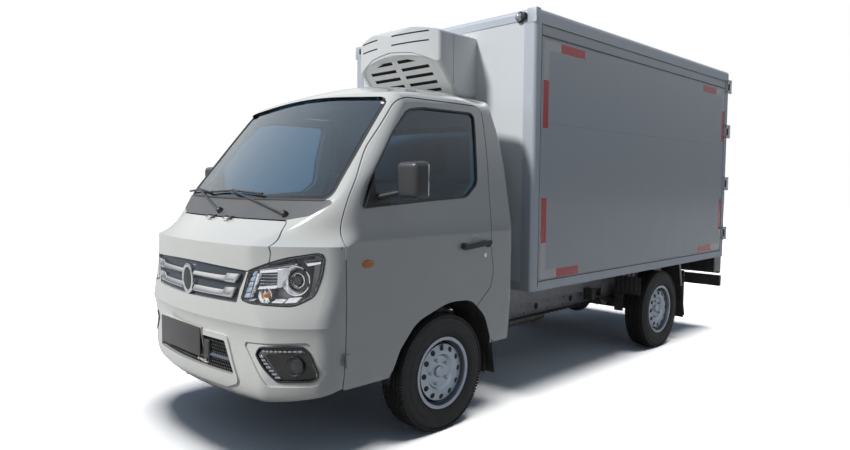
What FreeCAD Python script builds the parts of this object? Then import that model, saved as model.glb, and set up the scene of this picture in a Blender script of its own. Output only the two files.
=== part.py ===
import FreeCAD, Part
import math
import os
import Sketcher
from FreeCAD import Placement, Rotation, Vector

# Small refrigerated truck: ladder frame, forward-control cab, insulated box with a cooling unit.
# Millimetres. Each sub-part is drawn about the point on the ground below the front axle,
# X forward, Y left, Z up, and its Placement moves it to the frame whose origin is the middle
# of the footprint.

SIZES = {
    # Wheels, axles and tracks
    "wheelbase": 2610,
    "front_track": 1460,
    "rear_track": 1428,
    "tyre_radius": 316,
    "tyre_width": 172,
    "bead_radius": 178,
    "rim_width": 140,
    "flange_height": 17,
    "vent_radius": 12,
    "vent_circle": 132,
    "kingpin_offset": 62,
    "hub_face": 30,
    "seat_gap": 0.3,
    # Chassis
    "rail_spacing": 800,
    "rail_width": 55,
    "rail_depth": 110,
    "rail_top": 490,
    "rail_drop": 100,
    "rail_wall": 5,
    "subframe_depth": 120,
    "bearer_depth": 66,
    "bearer_width": 60,
    # Cab
    "cab_nose": 1046,
    "cab_half": 822,
    "cab_wall": 45,
    "cab_floor": 430,
    "seat_deck": 722,
    "rear_leg": 122,
    "deck_thick": 16,
    "door_gap": 6,
    "door_thick": 48,
    "glass_thick": 6,
    "hinge_x": 675,
    "hinge_y": 830,
    "hood_hinge_x": 872,
    "hood_hinge_z": 1146,
    # Box body
    "box_length": 3025,
    "box_front": 725,
    "box_half": 850,
    "box_bottom": 676,
    "box_height": 1708,
    "box_wall": 55,
    "roof_thick": 64,
    "floor_thick": 70,
    "edge_thick": 4,
    "edge_depth": 40,
    "edge_radius": 28,
    "post_depth": 60,
    "post_width": 55,
    "door_clear": 5,
    "leaf_thick": 53,
    "lock_proud": 37,
    "lock_rod_radius": 12,
    "rear_hinge_out": 12,
    "rear_hinge_back": 20,
    # Cooling unit on the front wall
    "unit_half": 385,
    "unit_bottom": 1888,
    "unit_top": 2315,
    "unit_front": 320,
}


class Size(float):
    """A length that also carries the sheet expression it comes from."""

    def __new__(cls, value, text):
        made = float.__new__(cls, value)
        made.text = text
        return made

    def __add__(self, other):
        return Size(float(self) + float(other), f"({self.text} + {text_of(other)})")

    __radd__ = __add__

    def __sub__(self, other):
        return Size(float(self) - float(other), f"({self.text} - {text_of(other)})")

    def __rsub__(self, other):
        return Size(float(other) - float(self), f"({text_of(other)} - {self.text})")

    def __mul__(self, other):
        return Size(float(self) * float(other), f"({self.text} * {text_of(other)})")

    __rmul__ = __mul__

    def __truediv__(self, other):
        return Size(float(self) / float(other), f"({self.text} / {text_of(other)})")

    def __neg__(self):
        return Size(-float(self), f"(-1 * {self.text})")


def text_of(value):
    """The expression of a sheet length, or the plain number."""
    return value.text if isinstance(value, Size) else repr(float(value))


doc = FreeCAD.newDocument("refrigerated_truck")
sheet = doc.addObject("Spreadsheet::Sheet", "Sizes")
for row, (alias, number) in enumerate(SIZES.items(), start=1):
    sheet.set(f"A{row}", alias)
    sheet.set(f"B{row}", str(number))
    sheet.setAlias(f"B{row}", alias)
doc.recompute()


class SheetSizes:
    """Reads each length back from the sheet by its name."""

    def __getattr__(self, name):
        return Size(float(sheet.get(name)), f"Sizes.{name}")


S = SheetSizes()
nodes = []


def bind(thing, name, value):
    """Sets a property, and ties it to the sheet where the value comes from there."""
    if isinstance(value, Size):
        thing.setExpression(name, value.text)
    elif name.startswith("Placement.Base."):
        base = thing.Placement.Base
        setattr(base, name[-1], value)
        thing.Placement = Placement(base, thing.Placement.Rotation)
    else:
        setattr(thing, name, value)


def move_to(thing, x, y, z):
    """Puts an object's base point at a place."""
    for axis, value in zip("xyz", (x, y, z)):
        bind(thing, f"Placement.Base.{axis}", value)


def block(name, x0, x1, y0, y1, z0, z1):
    """A box between two corners."""
    made = doc.addObject("Part::Box", name)
    bind(made, "Length", x1 - x0)
    bind(made, "Width", y1 - y0)
    bind(made, "Height", z1 - z0)
    move_to(made, x0, y0, z0)
    return made


TURNS = {
    "x": Rotation(Vector(0, 1, 0), 90),
    "y": Rotation(Vector(1, 0, 0), -90),
    "z": Rotation(),
}


def rod(name, axis, x, y, z, length, radius):
    """A cylinder along X, Y or Z from its base point."""
    made = doc.addObject("Part::Cylinder", name)
    made.Placement = Placement(Vector(), TURNS[axis])
    bind(made, "Radius", radius)
    bind(made, "Height", length)
    move_to(made, x, y, z)
    return made


def fuse(name, parts):
    """Joins objects into one solid."""
    made = doc.addObject("Part::MultiFuse", name)
    made.Shapes = parts
    made.Refine = True
    return made


def cut(name, base, tool):
    """Takes one object away from another."""
    made = doc.addObject("Part::Cut", name)
    made.Base = base
    made.Tool = tool
    return made


def rounded(name, base, radius, chosen):
    """Rounds the edges of an object that the test picks."""
    doc.recompute()
    made = doc.addObject("Part::Fillet", name)
    made.Base = base
    edges = enumerate(base.Shape.Edges, start=1)
    made.Edges = [(number, radius, radius) for number, edge in edges if chosen(edge)]
    return made


def along(axis):
    """A test for straight edges that run along an axis."""
    def test(edge):
        way = edge.Vertexes[-1].Point - edge.Vertexes[0].Point
        return way.Length > 1 and abs(way.normalize().dot(axis)) > 0.999
    return test


def mirrored(source):
    """The same object on the other side of the truck."""
    made = doc.addObject("Part::Mirroring", source.Name + "_right")
    made.Source = source
    made.Normal = Vector(0, 1, 0)
    return made


def both(source):
    """An object and its mirror image."""
    return [source, mirrored(source)]


def solid(name, shape):
    """A shape made by formula, as an object of the document."""
    made = doc.addObject("Part::Feature", name)
    made.Shape = shape
    return made


def node(label, parts):
    """One sub-part of the truck: its solids, moved to the final frame."""
    made = doc.addObject("Part::Compound", label)
    made.Label = label
    made.Links = parts
    bind(made, "Placement.Base.x", front_axle_x)
    nodes.append(made)
    return made


def plane_of(body, role):
    """One of the body's own origin planes."""
    return next(item for item in body.Origin.OriginFeatures if item.Role == role)


def profile(body, name, role, points):
    """A closed sketch of straight lines, each corner held at its own place."""
    sketch = body.newObject("Sketcher::SketchObject", name)
    sketch.AttachmentSupport = [(plane_of(body, role), "")]
    sketch.MapMode = "FlatFace"
    count = len(points)
    for index in range(count):
        start = Vector(*map(float, points[index]), 0)
        end = Vector(*map(float, points[(index + 1) % count]), 0)
        sketch.addGeometry(Part.LineSegment(start, end), False)
    for index in range(count):
        sketch.addConstraint(Sketcher.Constraint("Coincident", index, 2, (index + 1) % count, 1))
    for index, (u, v) in enumerate(points):
        for kind, value in (("DistanceX", u), ("DistanceY", v)):
            made = sketch.addConstraint(Sketcher.Constraint(kind, -1, 1, index, 1, float(value)))
            if isinstance(value, Size):
                sketch.setExpression(f"Constraints[{made}]", value.text)
    return sketch


def circle(body, name, role, u, v, radius):
    """A sketch of one circle."""
    sketch = body.newObject("Sketcher::SketchObject", name)
    sketch.AttachmentSupport = [(plane_of(body, role), "")]
    sketch.MapMode = "FlatFace"
    sketch.addGeometry(Part.Circle(Vector(float(u), float(v), 0), Vector(0, 0, 1), float(radius)), False)
    places = (("DistanceX", u), ("DistanceY", v))
    for kind, value in places:
        made = sketch.addConstraint(Sketcher.Constraint(kind, -1, 1, 0, 3, float(value)))
        if isinstance(value, Size):
            sketch.setExpression(f"Constraints[{made}]", value.text)
    made = sketch.addConstraint(Sketcher.Constraint("Radius", 0, float(radius)))
    if isinstance(radius, Size):
        sketch.setExpression(f"Constraints[{made}]", radius.text)
    return sketch


def body(name):
    """An empty body."""
    return doc.addObject("PartDesign::Body", name)


def pad(made, sketch, length, both_ways=True):
    """Thickens a sketch, half to each side unless told otherwise."""
    feature = made.newObject("PartDesign::Pad", made.Name + "_pad")
    feature.Profile = sketch
    bind(feature, "Length", length)
    if both_ways:
        feature.SideType = "Symmetric"
    return feature


def revolve(made, sketch, axis):
    """Spins a sketch round one of its axes."""
    feature = made.newObject("PartDesign::Revolution", made.Name + "_revolution")
    feature.Profile = sketch
    feature.ReferenceAxis = (sketch, [axis])
    feature.Angle = 360
    return feature


# Places that several sub-parts share
rear_reach = S.box_front + S.box_length + S.lock_proud
front_axle_x = (rear_reach - S.cab_nose) / 2
box_front = -S.box_front
box_rear = -(S.box_front + S.box_length)
box_top = S.box_bottom + S.box_height
panel_half = S.box_half - S.edge_thick
inner_half = panel_half - S.box_wall
portal_front = box_rear + S.post_depth
floor_top = S.box_bottom + S.floor_thick
roof_bottom = box_top - S.edge_thick - S.roof_thick
axle_z = S.tyre_radius
rail_bottom = S.rail_top - S.rail_depth
rail_y = S.rail_spacing / 2


# Cab form
# Levels of the outer skin: height, fall of the nose behind the bumper's most forward line,
# tuck of the side inside the widest line, rear face, front radius, corner radius and the
# radius of the sweep between the two bends of each front corner. The skin folds at the
# bumper's brow and at the hood's leading edge, so the cab is three lofts that meet there.
BUMPER_LEVELS = [
    (300, 70, 50, -650, 2500, 150, 700),
    (360, 24, 34, -650, 2500, 150, 700),
    (430, 12, 20, -650, 2500, 150, 700),
    (560, 14, 8, -648, 2500, 150, 700),
    (630, 12, 4, -646, 2500, 150, 700),
    (675, 0, 2, -645, 2500, 150, 700),
]
NOSE_LEVELS = [
    (675, 0, 2, -645, 2500, 150, 700),
    (770, 8, 1, -643, 2500, 150, 850),
    (850, 13, 0, -640, 2500, 150, 1000),
    (930, 14, 0, -636, 2500, 150, 1100),
    (1038, 16, 0, -630, 2500, 150, 1100),
]
UPPER_LEVELS = [
    (1038, 16, 0, -630, 2500, 150, 1100),
    (1140, 176, 9, -615, 2500, 150, 600),
    (1247, 277, 24, -600, 2900, 130, 130),
    (1400, 409, 42, -580, 3300, 110, 110),
    (1600, 581, 74, -545, 3800, 95, 95),
    (1808, 761, 122, -495, 4200, 85, 85),
    (1960, 892, 165, -450, 4400, 80, 80),
]
FIRST_BEND = math.radians(32)
SECOND_BEND = math.radians(50)
# Stations of the roof: place along the truck, crown height, height of the shoulder's centre
# and its radius.
ROOF_STATIONS = [
    (-720, 1868, 1700, 110),
    (-500, 1905, 1714, 110),
    (-300, 1925, 1718, 110),
    (-100, 1915, 1718, 108),
    (100, 1882, 1716, 100),
    (230, 1838, 1712, 90),
    (330, 1790, 1690, 75),
    (450, 1725, 1640, 65),
    (800, 1600, 1520, 60),
    (1250, 1500, 1420, 60),
]
ROOF_EDGE_TUCK = 110
SIDE_LEAN = math.radians(25)
REAR_CORNER = 55
BODY_FLOOR_CUT = 250


def three_point_arc(start, middle, end):
    return Part.Arc(start, middle, end).toShape()


def plan_section(level, inset):
    """One level of the cab seen from above, moved inwards by a wall's thickness."""
    z, fall, tuck, rear, front_radius, corner, sweep = level
    side = S.cab_half - tuck
    front_x = S.cab_nose - fall - front_radius
    reach_x = (sweep - corner) * (math.cos(FIRST_BEND) - math.cos(SECOND_BEND))
    reach_y = (sweep - corner) * (math.sin(SECOND_BEND) - math.sin(FIRST_BEND))
    bend_y = side - corner - reach_y
    bend_x = front_x + math.sqrt((front_radius - corner) ** 2 - bend_y ** 2)
    side_x = bend_x - reach_x
    sweep_x = side_x - (sweep - corner) * math.cos(SECOND_BEND)
    sweep_y = side - corner - (sweep - corner) * math.sin(SECOND_BEND)
    start = math.atan2(bend_y, bend_x - front_x)
    back = rear + inset
    side -= inset
    small = REAR_CORNER - inset if inset < REAR_CORNER - 5 else 5
    lean = small * (1 - math.sqrt(0.5))

    def arc(x, y, radius, first, last):
        """An arc about a centre, given by its two angles, on the left of the cab."""
        turns = (first, (first + last) / 2, last)
        return [Vector(x + (radius - inset) * math.cos(turn), y + (radius - inset) * math.sin(turn), z)
                for turn in turns]

    front = arc(front_x, 0, front_radius, -start, start)
    bends = [arc(bend_x, bend_y, corner, start, FIRST_BEND),
             arc(sweep_x, sweep_y, sweep, FIRST_BEND, SECOND_BEND),
             arc(side_x, side + inset - corner, corner, SECOND_BEND, math.pi / 2)]
    flank = [Vector(side_x, side, z), Vector(back + small, side, z)]
    rear_bend = [Vector(back + small, side, z), Vector(back + lean, side - lean, z),
                 Vector(back, side - small, z)]

    def right_of(points):
        return [Vector(p.x, -p.y, z) for p in reversed(points)]

    left_edges = [three_point_arc(*bend) for bend in bends]
    left_edges += [Part.makeLine(*flank), three_point_arc(*rear_bend)]
    right_edges = [three_point_arc(*right_of(rear_bend)), Part.makeLine(*right_of(flank))]
    right_edges += [three_point_arc(*right_of(bend)) for bend in reversed(bends)]
    rear_line = Part.makeLine(rear_bend[-1], right_of(rear_bend)[0])
    return Part.Wire([three_point_arc(*front)] + left_edges + [rear_line] + right_edges)


def roof_section(station, inset):
    """The cab's cross-section: crowned roof, round shoulders and leaning sides."""
    x, crown, shoulder_z, shoulder = station
    shoulder_y = S.cab_half - ROOF_EDGE_TUCK - shoulder * math.cos(SIDE_LEAN)
    drop = shoulder_z - crown
    crown_radius = (shoulder ** 2 - shoulder_y ** 2 - drop ** 2) / (2 * drop + 2 * shoulder)
    centre = crown - crown_radius
    angle = math.atan2(shoulder_y, shoulder_z - centre)
    crown_radius -= inset
    shoulder = max(shoulder - inset, 6)

    def on_crown(turn):
        return Vector(x, crown_radius * math.sin(turn), centre + crown_radius * math.cos(turn))

    def on_shoulder(turn, way):
        return Vector(x, way * (shoulder_y + shoulder * math.sin(turn)),
                      shoulder_z + shoulder * math.cos(turn))

    low = math.pi / 2 - SIDE_LEAN
    middle = (angle + low) / 2
    end = on_shoulder(low, 1)
    foot = end.y + (end.z - BODY_FLOOR_CUT) * math.tan(SIDE_LEAN)
    left = Vector(x, foot, BODY_FLOOR_CUT)
    right = Vector(x, -foot, BODY_FLOOR_CUT)
    join_left, join_right = on_shoulder(angle, 1), on_shoulder(angle, -1)
    return Part.Wire([
        three_point_arc(join_right, on_crown(0), join_left),
        three_point_arc(join_left, on_shoulder(middle, 1), end),
        Part.makeLine(end, left),
        Part.makeLine(left, right),
        Part.makeLine(right, on_shoulder(low, -1)),
        three_point_arc(on_shoulder(low, -1), on_shoulder(middle, -1), join_right),
    ])


forms = {}


def cab_form(inset, roofed=True):
    """The whole cab as one closed solid, moved inwards by a wall's thickness."""
    key = (float(inset), roofed)
    if key not in forms:
        bumper_part, nose_part, upper = (
            Part.makeLoft([plan_section(level, inset) for level in levels], True)
            for levels in (BUMPER_LEVELS, NOSE_LEVELS, UPPER_LEVELS))
        if roofed:
            roof = Part.makeLoft([roof_section(station, inset) for station in ROOF_STATIONS], True)
            upper = upper.common(roof)
        forms[key] = bumper_part.fuse(nose_part).fuse(upper)
    return forms[key]


def rounded_wire(points, place):
    """A closed outline from corners (u, v, radius), put in space by the place function."""
    edges = []
    count = len(points)
    ends = []
    for index, (u, v, radius) in enumerate(points):
        here = Vector(u, v, 0)
        before = Vector(*points[index - 1][:2], 0) - here
        after = Vector(*points[(index + 1) % count][:2], 0) - here
        opening = before.getAngle(after)
        reach = radius / math.tan(opening / 2) if radius else 0
        start = here + before.normalize() * reach
        end = here + after.normalize() * reach
        if radius:
            bisector = (before + after).normalize()
            middle = here + bisector * (radius / math.sin(opening / 2) - radius)
            edges.append(("arc", start, middle, end))
        ends.append((start, end))
    shapes = [three_point_arc(place(a), place(b), place(c)) for kind, a, b, c in edges]
    for index in range(count):
        start, end = ends[index][1], ends[(index + 1) % count][0]
        if (end - start).Length > 0.01:
            shapes.append(Part.makeLine(place(start), place(end)))
    return Part.Wire(Part.__sortEdges__(shapes))


def prism(points, axis, start, end, grow=0):
    """An outline pushed along X or Y between two places; it may be grown by a seam."""
    if axis == "y":
        wire = rounded_wire(points, lambda p: Vector(p.x, start, p.y))
        way = Vector(0, end - start, 0)
    else:
        wire = rounded_wire(points, lambda p: Vector(start, p.x, p.y))
        way = Vector(end - start, 0, 0)
    face = Part.Face(wire)
    if grow:
        face = Part.Face(face.makeOffset2D(grow).Wires[0])
    return face.extrude(way)


def other_side(shape):
    return shape.mirror(Vector(), Vector(0, 1, 0))


def pair(shape):
    """A shape and its mirror image, as two separate solids."""
    return Part.Compound([shape, other_side(shape)])


# Outlines of the cab's panels, as corners (along, up, radius)
DOOR = [
    (664, 362, 15), (667, 1191, 450), (465, 1502, 700), (239, 1770, 150), (-388, 1772, 50),
    (-374, 1300, 400), (-362, 985, 200), (-388, 830, 80), (-366, 745, 30), (-250, 650, 10),
    (-250, 362, 0),
]
ARCH = [
    (384, 330, 0), (322, 500, 120), (215, 625, 200), (-20, 700, 400), (-200, 690, 150),
    (-322, 590, 200), (-390, 445, 60), (-396, 330, 0),
]
SIDE_WINDOW = [
    (562, 1213, 12), (515, 1330, 250), (330, 1580, 500), (205, 1705, 110), (90, 1724, 200),
    (-316, 1727, 30), (-289, 1500, 300), (-276, 1330, 60), (-180, 1258, 80), (94, 1243, 300),
]
WINDSCREEN_HALF = [(0, 1243, 0), (709, 1249, 42), (652, 1770, 55), (0, 1820, 4000)]
HEADLAMP = [
    (447, 786, 10), (505, 775, 40), (700, 771, 70), (755, 815, 50), (765, 905, 200), (770, 1008, 18),
    (745, 1009, 30), (648, 988, 200), (563, 957, 100), (499, 927, 10),
]
GRILLE_HALF = [(0, 762, 0), (422, 768, 12), (440, 831, 60), (487, 920, 8), (0, 938, 6000)]
HOOD_HALF = [
    (0, 942, 6000), (489, 924, 6), (581, 966, 8), (587, 1010, 60), (573, 1063, 100), (541, 1146, 25),
    (0, 1146, 0),
]
COWL_HALF = [(0, 1152, 0), (530, 1152, 60), (655, 1175, 80), (735, 1236, 10), (709, 1249, 0), (0, 1243, 0)]
INTAKE_HALF = [(0, 425, 0), (408, 425, 12), (330, 577, 14), (0, 577, 0)]
INTAKE_RIM_HALF = [(0, 352, 0), (330, 352, 60), (436, 392, 30), (345, 604, 30), (0, 604, 0)]
FOG_LAMP = [
    (530, 542, 15), (557, 575, 15), (661, 590, 200), (727, 588, 15), (745, 565, 15), (769, 470, 15),
    (766, 440, 15), (746, 430, 15), (632, 426, 20),
]
FOG_SCOOP = [
    (455, 590, 15), (756, 612, 20), (800, 470, 25), (772, 405, 25), (600, 398, 30),
]
REAR_WINDOW_HALF = [(0, 1330, 0), (560, 1330, 70), (520, 1680, 70), (0, 1690, 0)]


def whole(half):
    """A symmetric outline from its left half."""
    right = [(-u, v, radius) for u, v, radius in reversed(half) if u > 0]
    return half + right


seam = S.door_gap / 2
far = 1200
skin = cab_form(0)
inner = cab_form(S.cab_wall)
bumper_zone = prism([(672, 250, 0), (far, 250, 0), (far, 770, 0), (672, 770, 0)], "y", -far, far)
bumper_zone = bumper_zone.cut(prism([(600, 250, 0), (far, 250, 0), (far, 300, 0), (990, 301, 300),
                                     (690, 370, 0), (600, 380, 0)], "y", -far, far))
door_zone = prism(DOOR, "y", 645, far).cut(prism(ARCH, "y", 400, far))
door_hole = prism(DOOR, "y", 645, far, S.door_gap)
windscreen_zone = prism(whole(WINDSCREEN_HALF), "x", 150, far)
lamp_zone = prism(HEADLAMP, "x", 700, far)
hood_zone = prism(whole(HOOD_HALF), "x", 700, far)
hood_hole = prism(whole(HOOD_HALF), "x", 700, far, S.door_gap)
grille_zone = prism(whole(GRILLE_HALF), "x", 800, far)
cowl_zone = prism(whole(COWL_HALF), "x", 640, far)
intake_zone = prism(whole(INTAKE_HALF), "x", 800, far)
fog_zone = prism(FOG_LAMP, "x", 700, far)
rear_window_zone = prism(whole(REAR_WINDOW_HALF), "x", -800, -300)
window_zone = prism(SIDE_WINDOW, "y", 500, far)


def wall(zone, outside, thickness, roofed=False):
    """The part of the cab's wall that lies in a zone, between two depths."""
    outer_part = cab_form(outside, roofed).common(zone)
    return outer_part.cut(cab_form(outside + thickness, roofed))


# Cab shell: pillars, roof, rear wall and nose, with its pressed floor
deck_front = 402
floor_under = S.cab_floor - S.deck_thick
slab = Part.makeBox(far, 2 * far, S.deck_thick, Vector(deck_front, -far, floor_under))
deck = Part.makeBox(far + deck_front, 2 * far, S.deck_thick, Vector(-far, -far, S.seat_deck))
riser = Part.makeBox(S.deck_thick, 2 * far, S.seat_deck + S.deck_thick - S.cab_floor,
                     Vector(deck_front, -far, S.cab_floor))
firewall = Part.makeBox(S.deck_thick, 2 * far, 560, Vector(800, -far, S.cab_floor))
slab = slab.cut(Part.makeBox(far, 2 * far, 100, Vector(800 + S.deck_thick, -far, floor_under - 20)))
floor_panels = [inner.common(one) for one in (slab, deck, riser, firewall)]
sill_height = floor_under
shell = skin.cut(inner)
shell = shell.common(Part.makeBox(3 * far, 2 * far, 3 * far, Vector(-far, -far, sill_height)))
door_space = skin.common(door_hole).cut(cab_form(S.door_thick + S.door_gap))
for zone in (door_space, prism(ARCH, "y", 600, far)):
    shell = shell.cut(zone).cut(other_side(zone))
    floor_panels = [one.cut(zone).cut(other_side(zone)) for one in floor_panels]
cowl_seam = Part.makeBox(far, 1040, 14, Vector(640, -520, 1140))
for zone in (bumper_zone, windscreen_zone, hood_hole, grille_zone, cowl_zone, cowl_seam,
             rear_window_zone):
    shell = shell.cut(zone)
shell = shell.cut(lamp_zone).cut(other_side(lamp_zone))
under_deck = Part.makeBox(far, 2 * (S.cab_half - S.rear_leg), S.seat_deck - sill_height,
                          Vector(deck_front - far, S.rear_leg - S.cab_half, sill_height))
shell = shell.cut(under_deck).removeSplitter()
node("cab_shell", [solid("shell_form", shell)])
node("cab_floor", [solid(f"{name}_panel", one) for name, one in
                   zip(("footwell", "deck", "riser", "firewall"), floor_panels)])

# Nose and glass
bumper = wall(bumper_zone, 0, S.cab_wall)
rim_raise = 9
scoop_depth = 8
rim_zone = prism(whole(INTAKE_RIM_HALF), "x", 800, far)
scoop_zone = prism(FOG_SCOOP, "x", 700, far)
bumper = bumper.fuse(wall(rim_zone, -rim_raise, rim_raise))
for zone in (intake_zone, fog_zone, other_side(fog_zone), grille_zone):
    bumper = bumper.cut(zone)
scoop = wall(scoop_zone, 0, scoop_depth)
bumper = bumper.cut(scoop).cut(other_side(scoop))
node("front_bumper", [solid("bumper_form", bumper)])

intake = wall(intake_zone, 20, 25)
grille = wall(grille_zone, 14, 31)
# Each bar as the half outline of its front: thin beside the badge, deeper past a step
BARS = [
    [(58, 864, 0), (409, 861, 4), (436, 903, 4), (355, 901, 6), (335, 888, 6), (58, 886, 0)],
    [(58, 786, 0), (380, 789, 4), (406, 836, 4), (340, 834, 6), (320, 819, 6), (58, 817, 0)],
]
for outline in BARS:
    bar = prism(outline, "x", 800, far)
    for side_bar in (bar, other_side(bar)):
        grille = grille.fuse(wall(side_bar, 0, 20))
emblem = Part.Face(Part.Wire(Part.Ellipse(Vector(0, 0, 0), 72, 56).toShape())).extrude(Vector(0, 0, 44))
emblem.Placement = Placement(Vector(998, 0, 842), Rotation(Vector(0, 1, 0), 90))
node("grille", [solid("grille_form", grille.fuse(emblem)), solid("intake_form", intake)])

lamp = wall(lamp_zone.cut(hood_hole), 0, S.cab_wall)
node("headlamps", [solid("headlamp_form", pair(lamp))])
fog = wall(fog_zone, 14, 31)
node("fog_lamps", [solid("fog_form", pair(fog))])

windscreen = wall(windscreen_zone.cut(cowl_zone), 2, S.glass_thick, True)
rear_glass = wall(rear_window_zone, 2, S.glass_thick)
node("cab_glass", [solid("windscreen_form", windscreen), solid("rear_glass_form", rear_glass)])
cowl = wall(cowl_zone, 2, 43)
for y in (-130, -110 + 40 + S.seat_gap, 50, 70 + 40 + S.seat_gap):
    width = 20 - S.seat_gap
    ear = Part.makeCylinder(5, width, Vector(S.hood_hinge_x, y, S.hood_hinge_z), Vector(0, 1, 0))
    arm = Part.makeBox(24, width, 8, Vector(S.hood_hinge_x - 24, y, S.hood_hinge_z + 3))
    cowl = cowl.fuse(ear).fuse(arm)
node("cowl", [solid("cowl_form", cowl)])
hood = wall(hood_zone, 0, 26)
hinge_radius = 5
for y in (-110, 70):
    knuckle = Part.makeCylinder(hinge_radius, 40, Vector(S.hood_hinge_x, y, S.hood_hinge_z), Vector(0, 1, 0))
    neck = Part.makeBox(16, 40, 12, Vector(S.hood_hinge_x - 4, y, S.hood_hinge_z - 13))
    hood = hood.fuse(knuckle).fuse(neck)
node("hood", [solid("hood_form", hood)])

# Cab doors with their glass, mirror and handle
door = wall(door_zone, 0, S.door_thick, True).cut(window_zone)
side_glass = wall(window_zone, 8, S.glass_thick)
hinge_rods = []
for z in (480, 980):
    hinge_rods.append(Part.makeCylinder(5, 60, Vector(S.hinge_x, S.hinge_y, z)))
    hinge_rods.append(Part.makeBox(26, 14, 60, Vector(S.hinge_x - 30, S.hinge_y - 17, z)))
for rod_shape in hinge_rods:
    door = door.fuse(rod_shape)
MIRROR = [(345, 1250, 40), (455, 1262, 40), (452, 1440, 40), (352, 1432, 40)]
mirror = prism(MIRROR, "y", 903, 1045)
mirror = mirror.makeFillet(28, [e for e in mirror.Edges if abs(e.BoundBox.YMax - 1045) < 1
                                and e.BoundBox.YLength < 1])
arm = Part.makeCylinder(14, 150, Vector(430, 775, 1270), Vector(-20, 150, 8))
foot_zone = prism([(556, 1215, 8), (470, 1240, 10), (380, 1244, 10), (470, 1385, 20)], "y", 500, far)
foot = wall(foot_zone, -14, 14).fuse(wall(foot_zone.common(window_zone), -14, 22))
handle = Part.makeBox(226, 14, 22, Vector(-343, S.cab_half + 14, 983))
for x in (-340, -138):
    handle = handle.fuse(Part.makeBox(18, 20, 22, Vector(x, S.cab_half - 4, 983)))
MARKER = [(512, 933, 18), (572, 933, 18), (572, 969, 18), (512, 969, 18)]
marker = wall(prism(MARKER, "y", 700, far), -7, 7)
mirror_set = mirror.fuse(arm).cut(skin).fuse(foot)
fittings = [mirror_set, handle.cut(skin), marker]
for side in ("left", "right"):
    turn = (lambda shape: shape) if side == "left" else other_side
    node(f"door_{side}", [solid(f"door_{side}_form", turn(door))])
    node(f"door_glass_{side}", [solid(f"door_glass_{side}_form", turn(side_glass))])
    node(f"door_fittings_{side}", [solid(f"fitting_{side}_{index}", turn(one))
                                   for index, one in enumerate(fittings)])

# Cab interior
dash_profile = [(799.7, 700, 0), (799.7, 1130, 20), (700, 1165, 60), (560, 1110, 50), (575, 960, 40),
                (640, 900, 60), (660, 700, 0)]
dash = cab_form(S.cab_wall).common(prism(dash_profile, "y", -690, 690))
hood_corner = Part.makeBox(60, 300, 200, Vector(750, 440, 1010))
dash = dash.cut(hood_corner).cut(other_side(hood_corner))
column = Part.makeCylinder(22, 230, Vector(640, 370, 900), Vector(-190, 0, 130))
wheel = Part.makeTorus(185, 13, Vector(462, 370, 1022), Vector(-190, 0, 130))
hub = Part.makeCylinder(60, 30, Vector(470, 370, 1016), Vector(-190, 0, 130))
spokes = [Part.makeBox(16, 360, 14, Vector(-8, -180, -7))]
for spoke in spokes:
    spoke.Placement = Placement(Vector(462, 370, 1022), Rotation(Vector(0, 1, 0), -56))
steering = wheel.fuse(hub).fuse(spokes[0]).fuse(column)
node("dashboard", [solid("dash_form", dash), solid("steering_form", steering.cut(dash))])
SEAT = [(330, 738, 20), (345, 880, 50), (-60, 850, 60), (-270, 1330, 60), (-215, 1560, 40),
        (-300, 1580, 40), (-380, 1330, 60), (-250, 738, 30)]
seat = prism(SEAT, "y", 130, 610)
node("seats", [solid("seat_form", pair(seat))])

# Wipers: two arms and blades parked along the foot of the windscreen
def skin_x(y, z):
    """How far forward the outer skin reaches at a place on the windscreen or cowl."""
    for low, high in zip(UPPER_LEVELS, UPPER_LEVELS[1:]):
        if z <= high[0]:
            share = (z - low[0]) / (high[0] - low[0])
            fall = low[1] + share * (high[1] - low[1])
            radius = low[4] + share * (high[4] - low[4])
            return S.cab_nose - fall - radius + math.sqrt(radius ** 2 - y ** 2)
    return 0


def over_skin(y, z, lift):
    return Vector(skin_x(y, z) + lift, y, z)


def stick(start, end, radius):
    return Part.makeCylinder(radius, (end - start).Length, start, end - start)


wipers = []
for pivot_y, tip_y, reach in ((496, -58, 300), (-53, -540, 230)):
    pivot = over_skin(pivot_y, 1180, 14)
    tip = over_skin(tip_y, 1285, 24)
    base = Vector(skin_x(pivot_y, 1180) - 12, pivot_y, 1168)
    blade_start = over_skin(tip_y - reach, 1272, 17)
    blade_end = over_skin(tip_y + reach, 1272, 17)
    middle = over_skin(tip_y, 1285, 16)
    wiper = stick(base, pivot, 11).fuse(stick(pivot, tip, 6)).fuse(stick(blade_start, middle, 6))
    wiper = wiper.fuse(stick(middle, blade_end, 6)).fuse(stick(middle, tip, 8))
    wipers.append(wiper.cut(cab_form(2, False)))
node("wipers", [solid(f"wiper_form_{index}", one) for index, one in enumerate(wipers)])

# Chassis
rail_front = 880
rail_rear = box_rear + 90
step_front = 330
step_rear = -20
front_top = S.rail_top - S.rail_drop
front_depth = 90


def rail_outline(inset):
    """Side view of a frame rail, level behind the wheels and dropped under the cab."""
    return [
        (rail_front - inset, front_top - front_depth + inset),
        (rail_front - inset, front_top - inset),
        (step_front, front_top - inset),
        (step_rear, S.rail_top - inset),
        (rail_rear + inset, S.rail_top - inset),
        (rail_rear + inset, rail_bottom + inset),
        (step_rear - 40, rail_bottom + inset),
        (step_front - 40, front_top - front_depth + inset),
    ]


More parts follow.
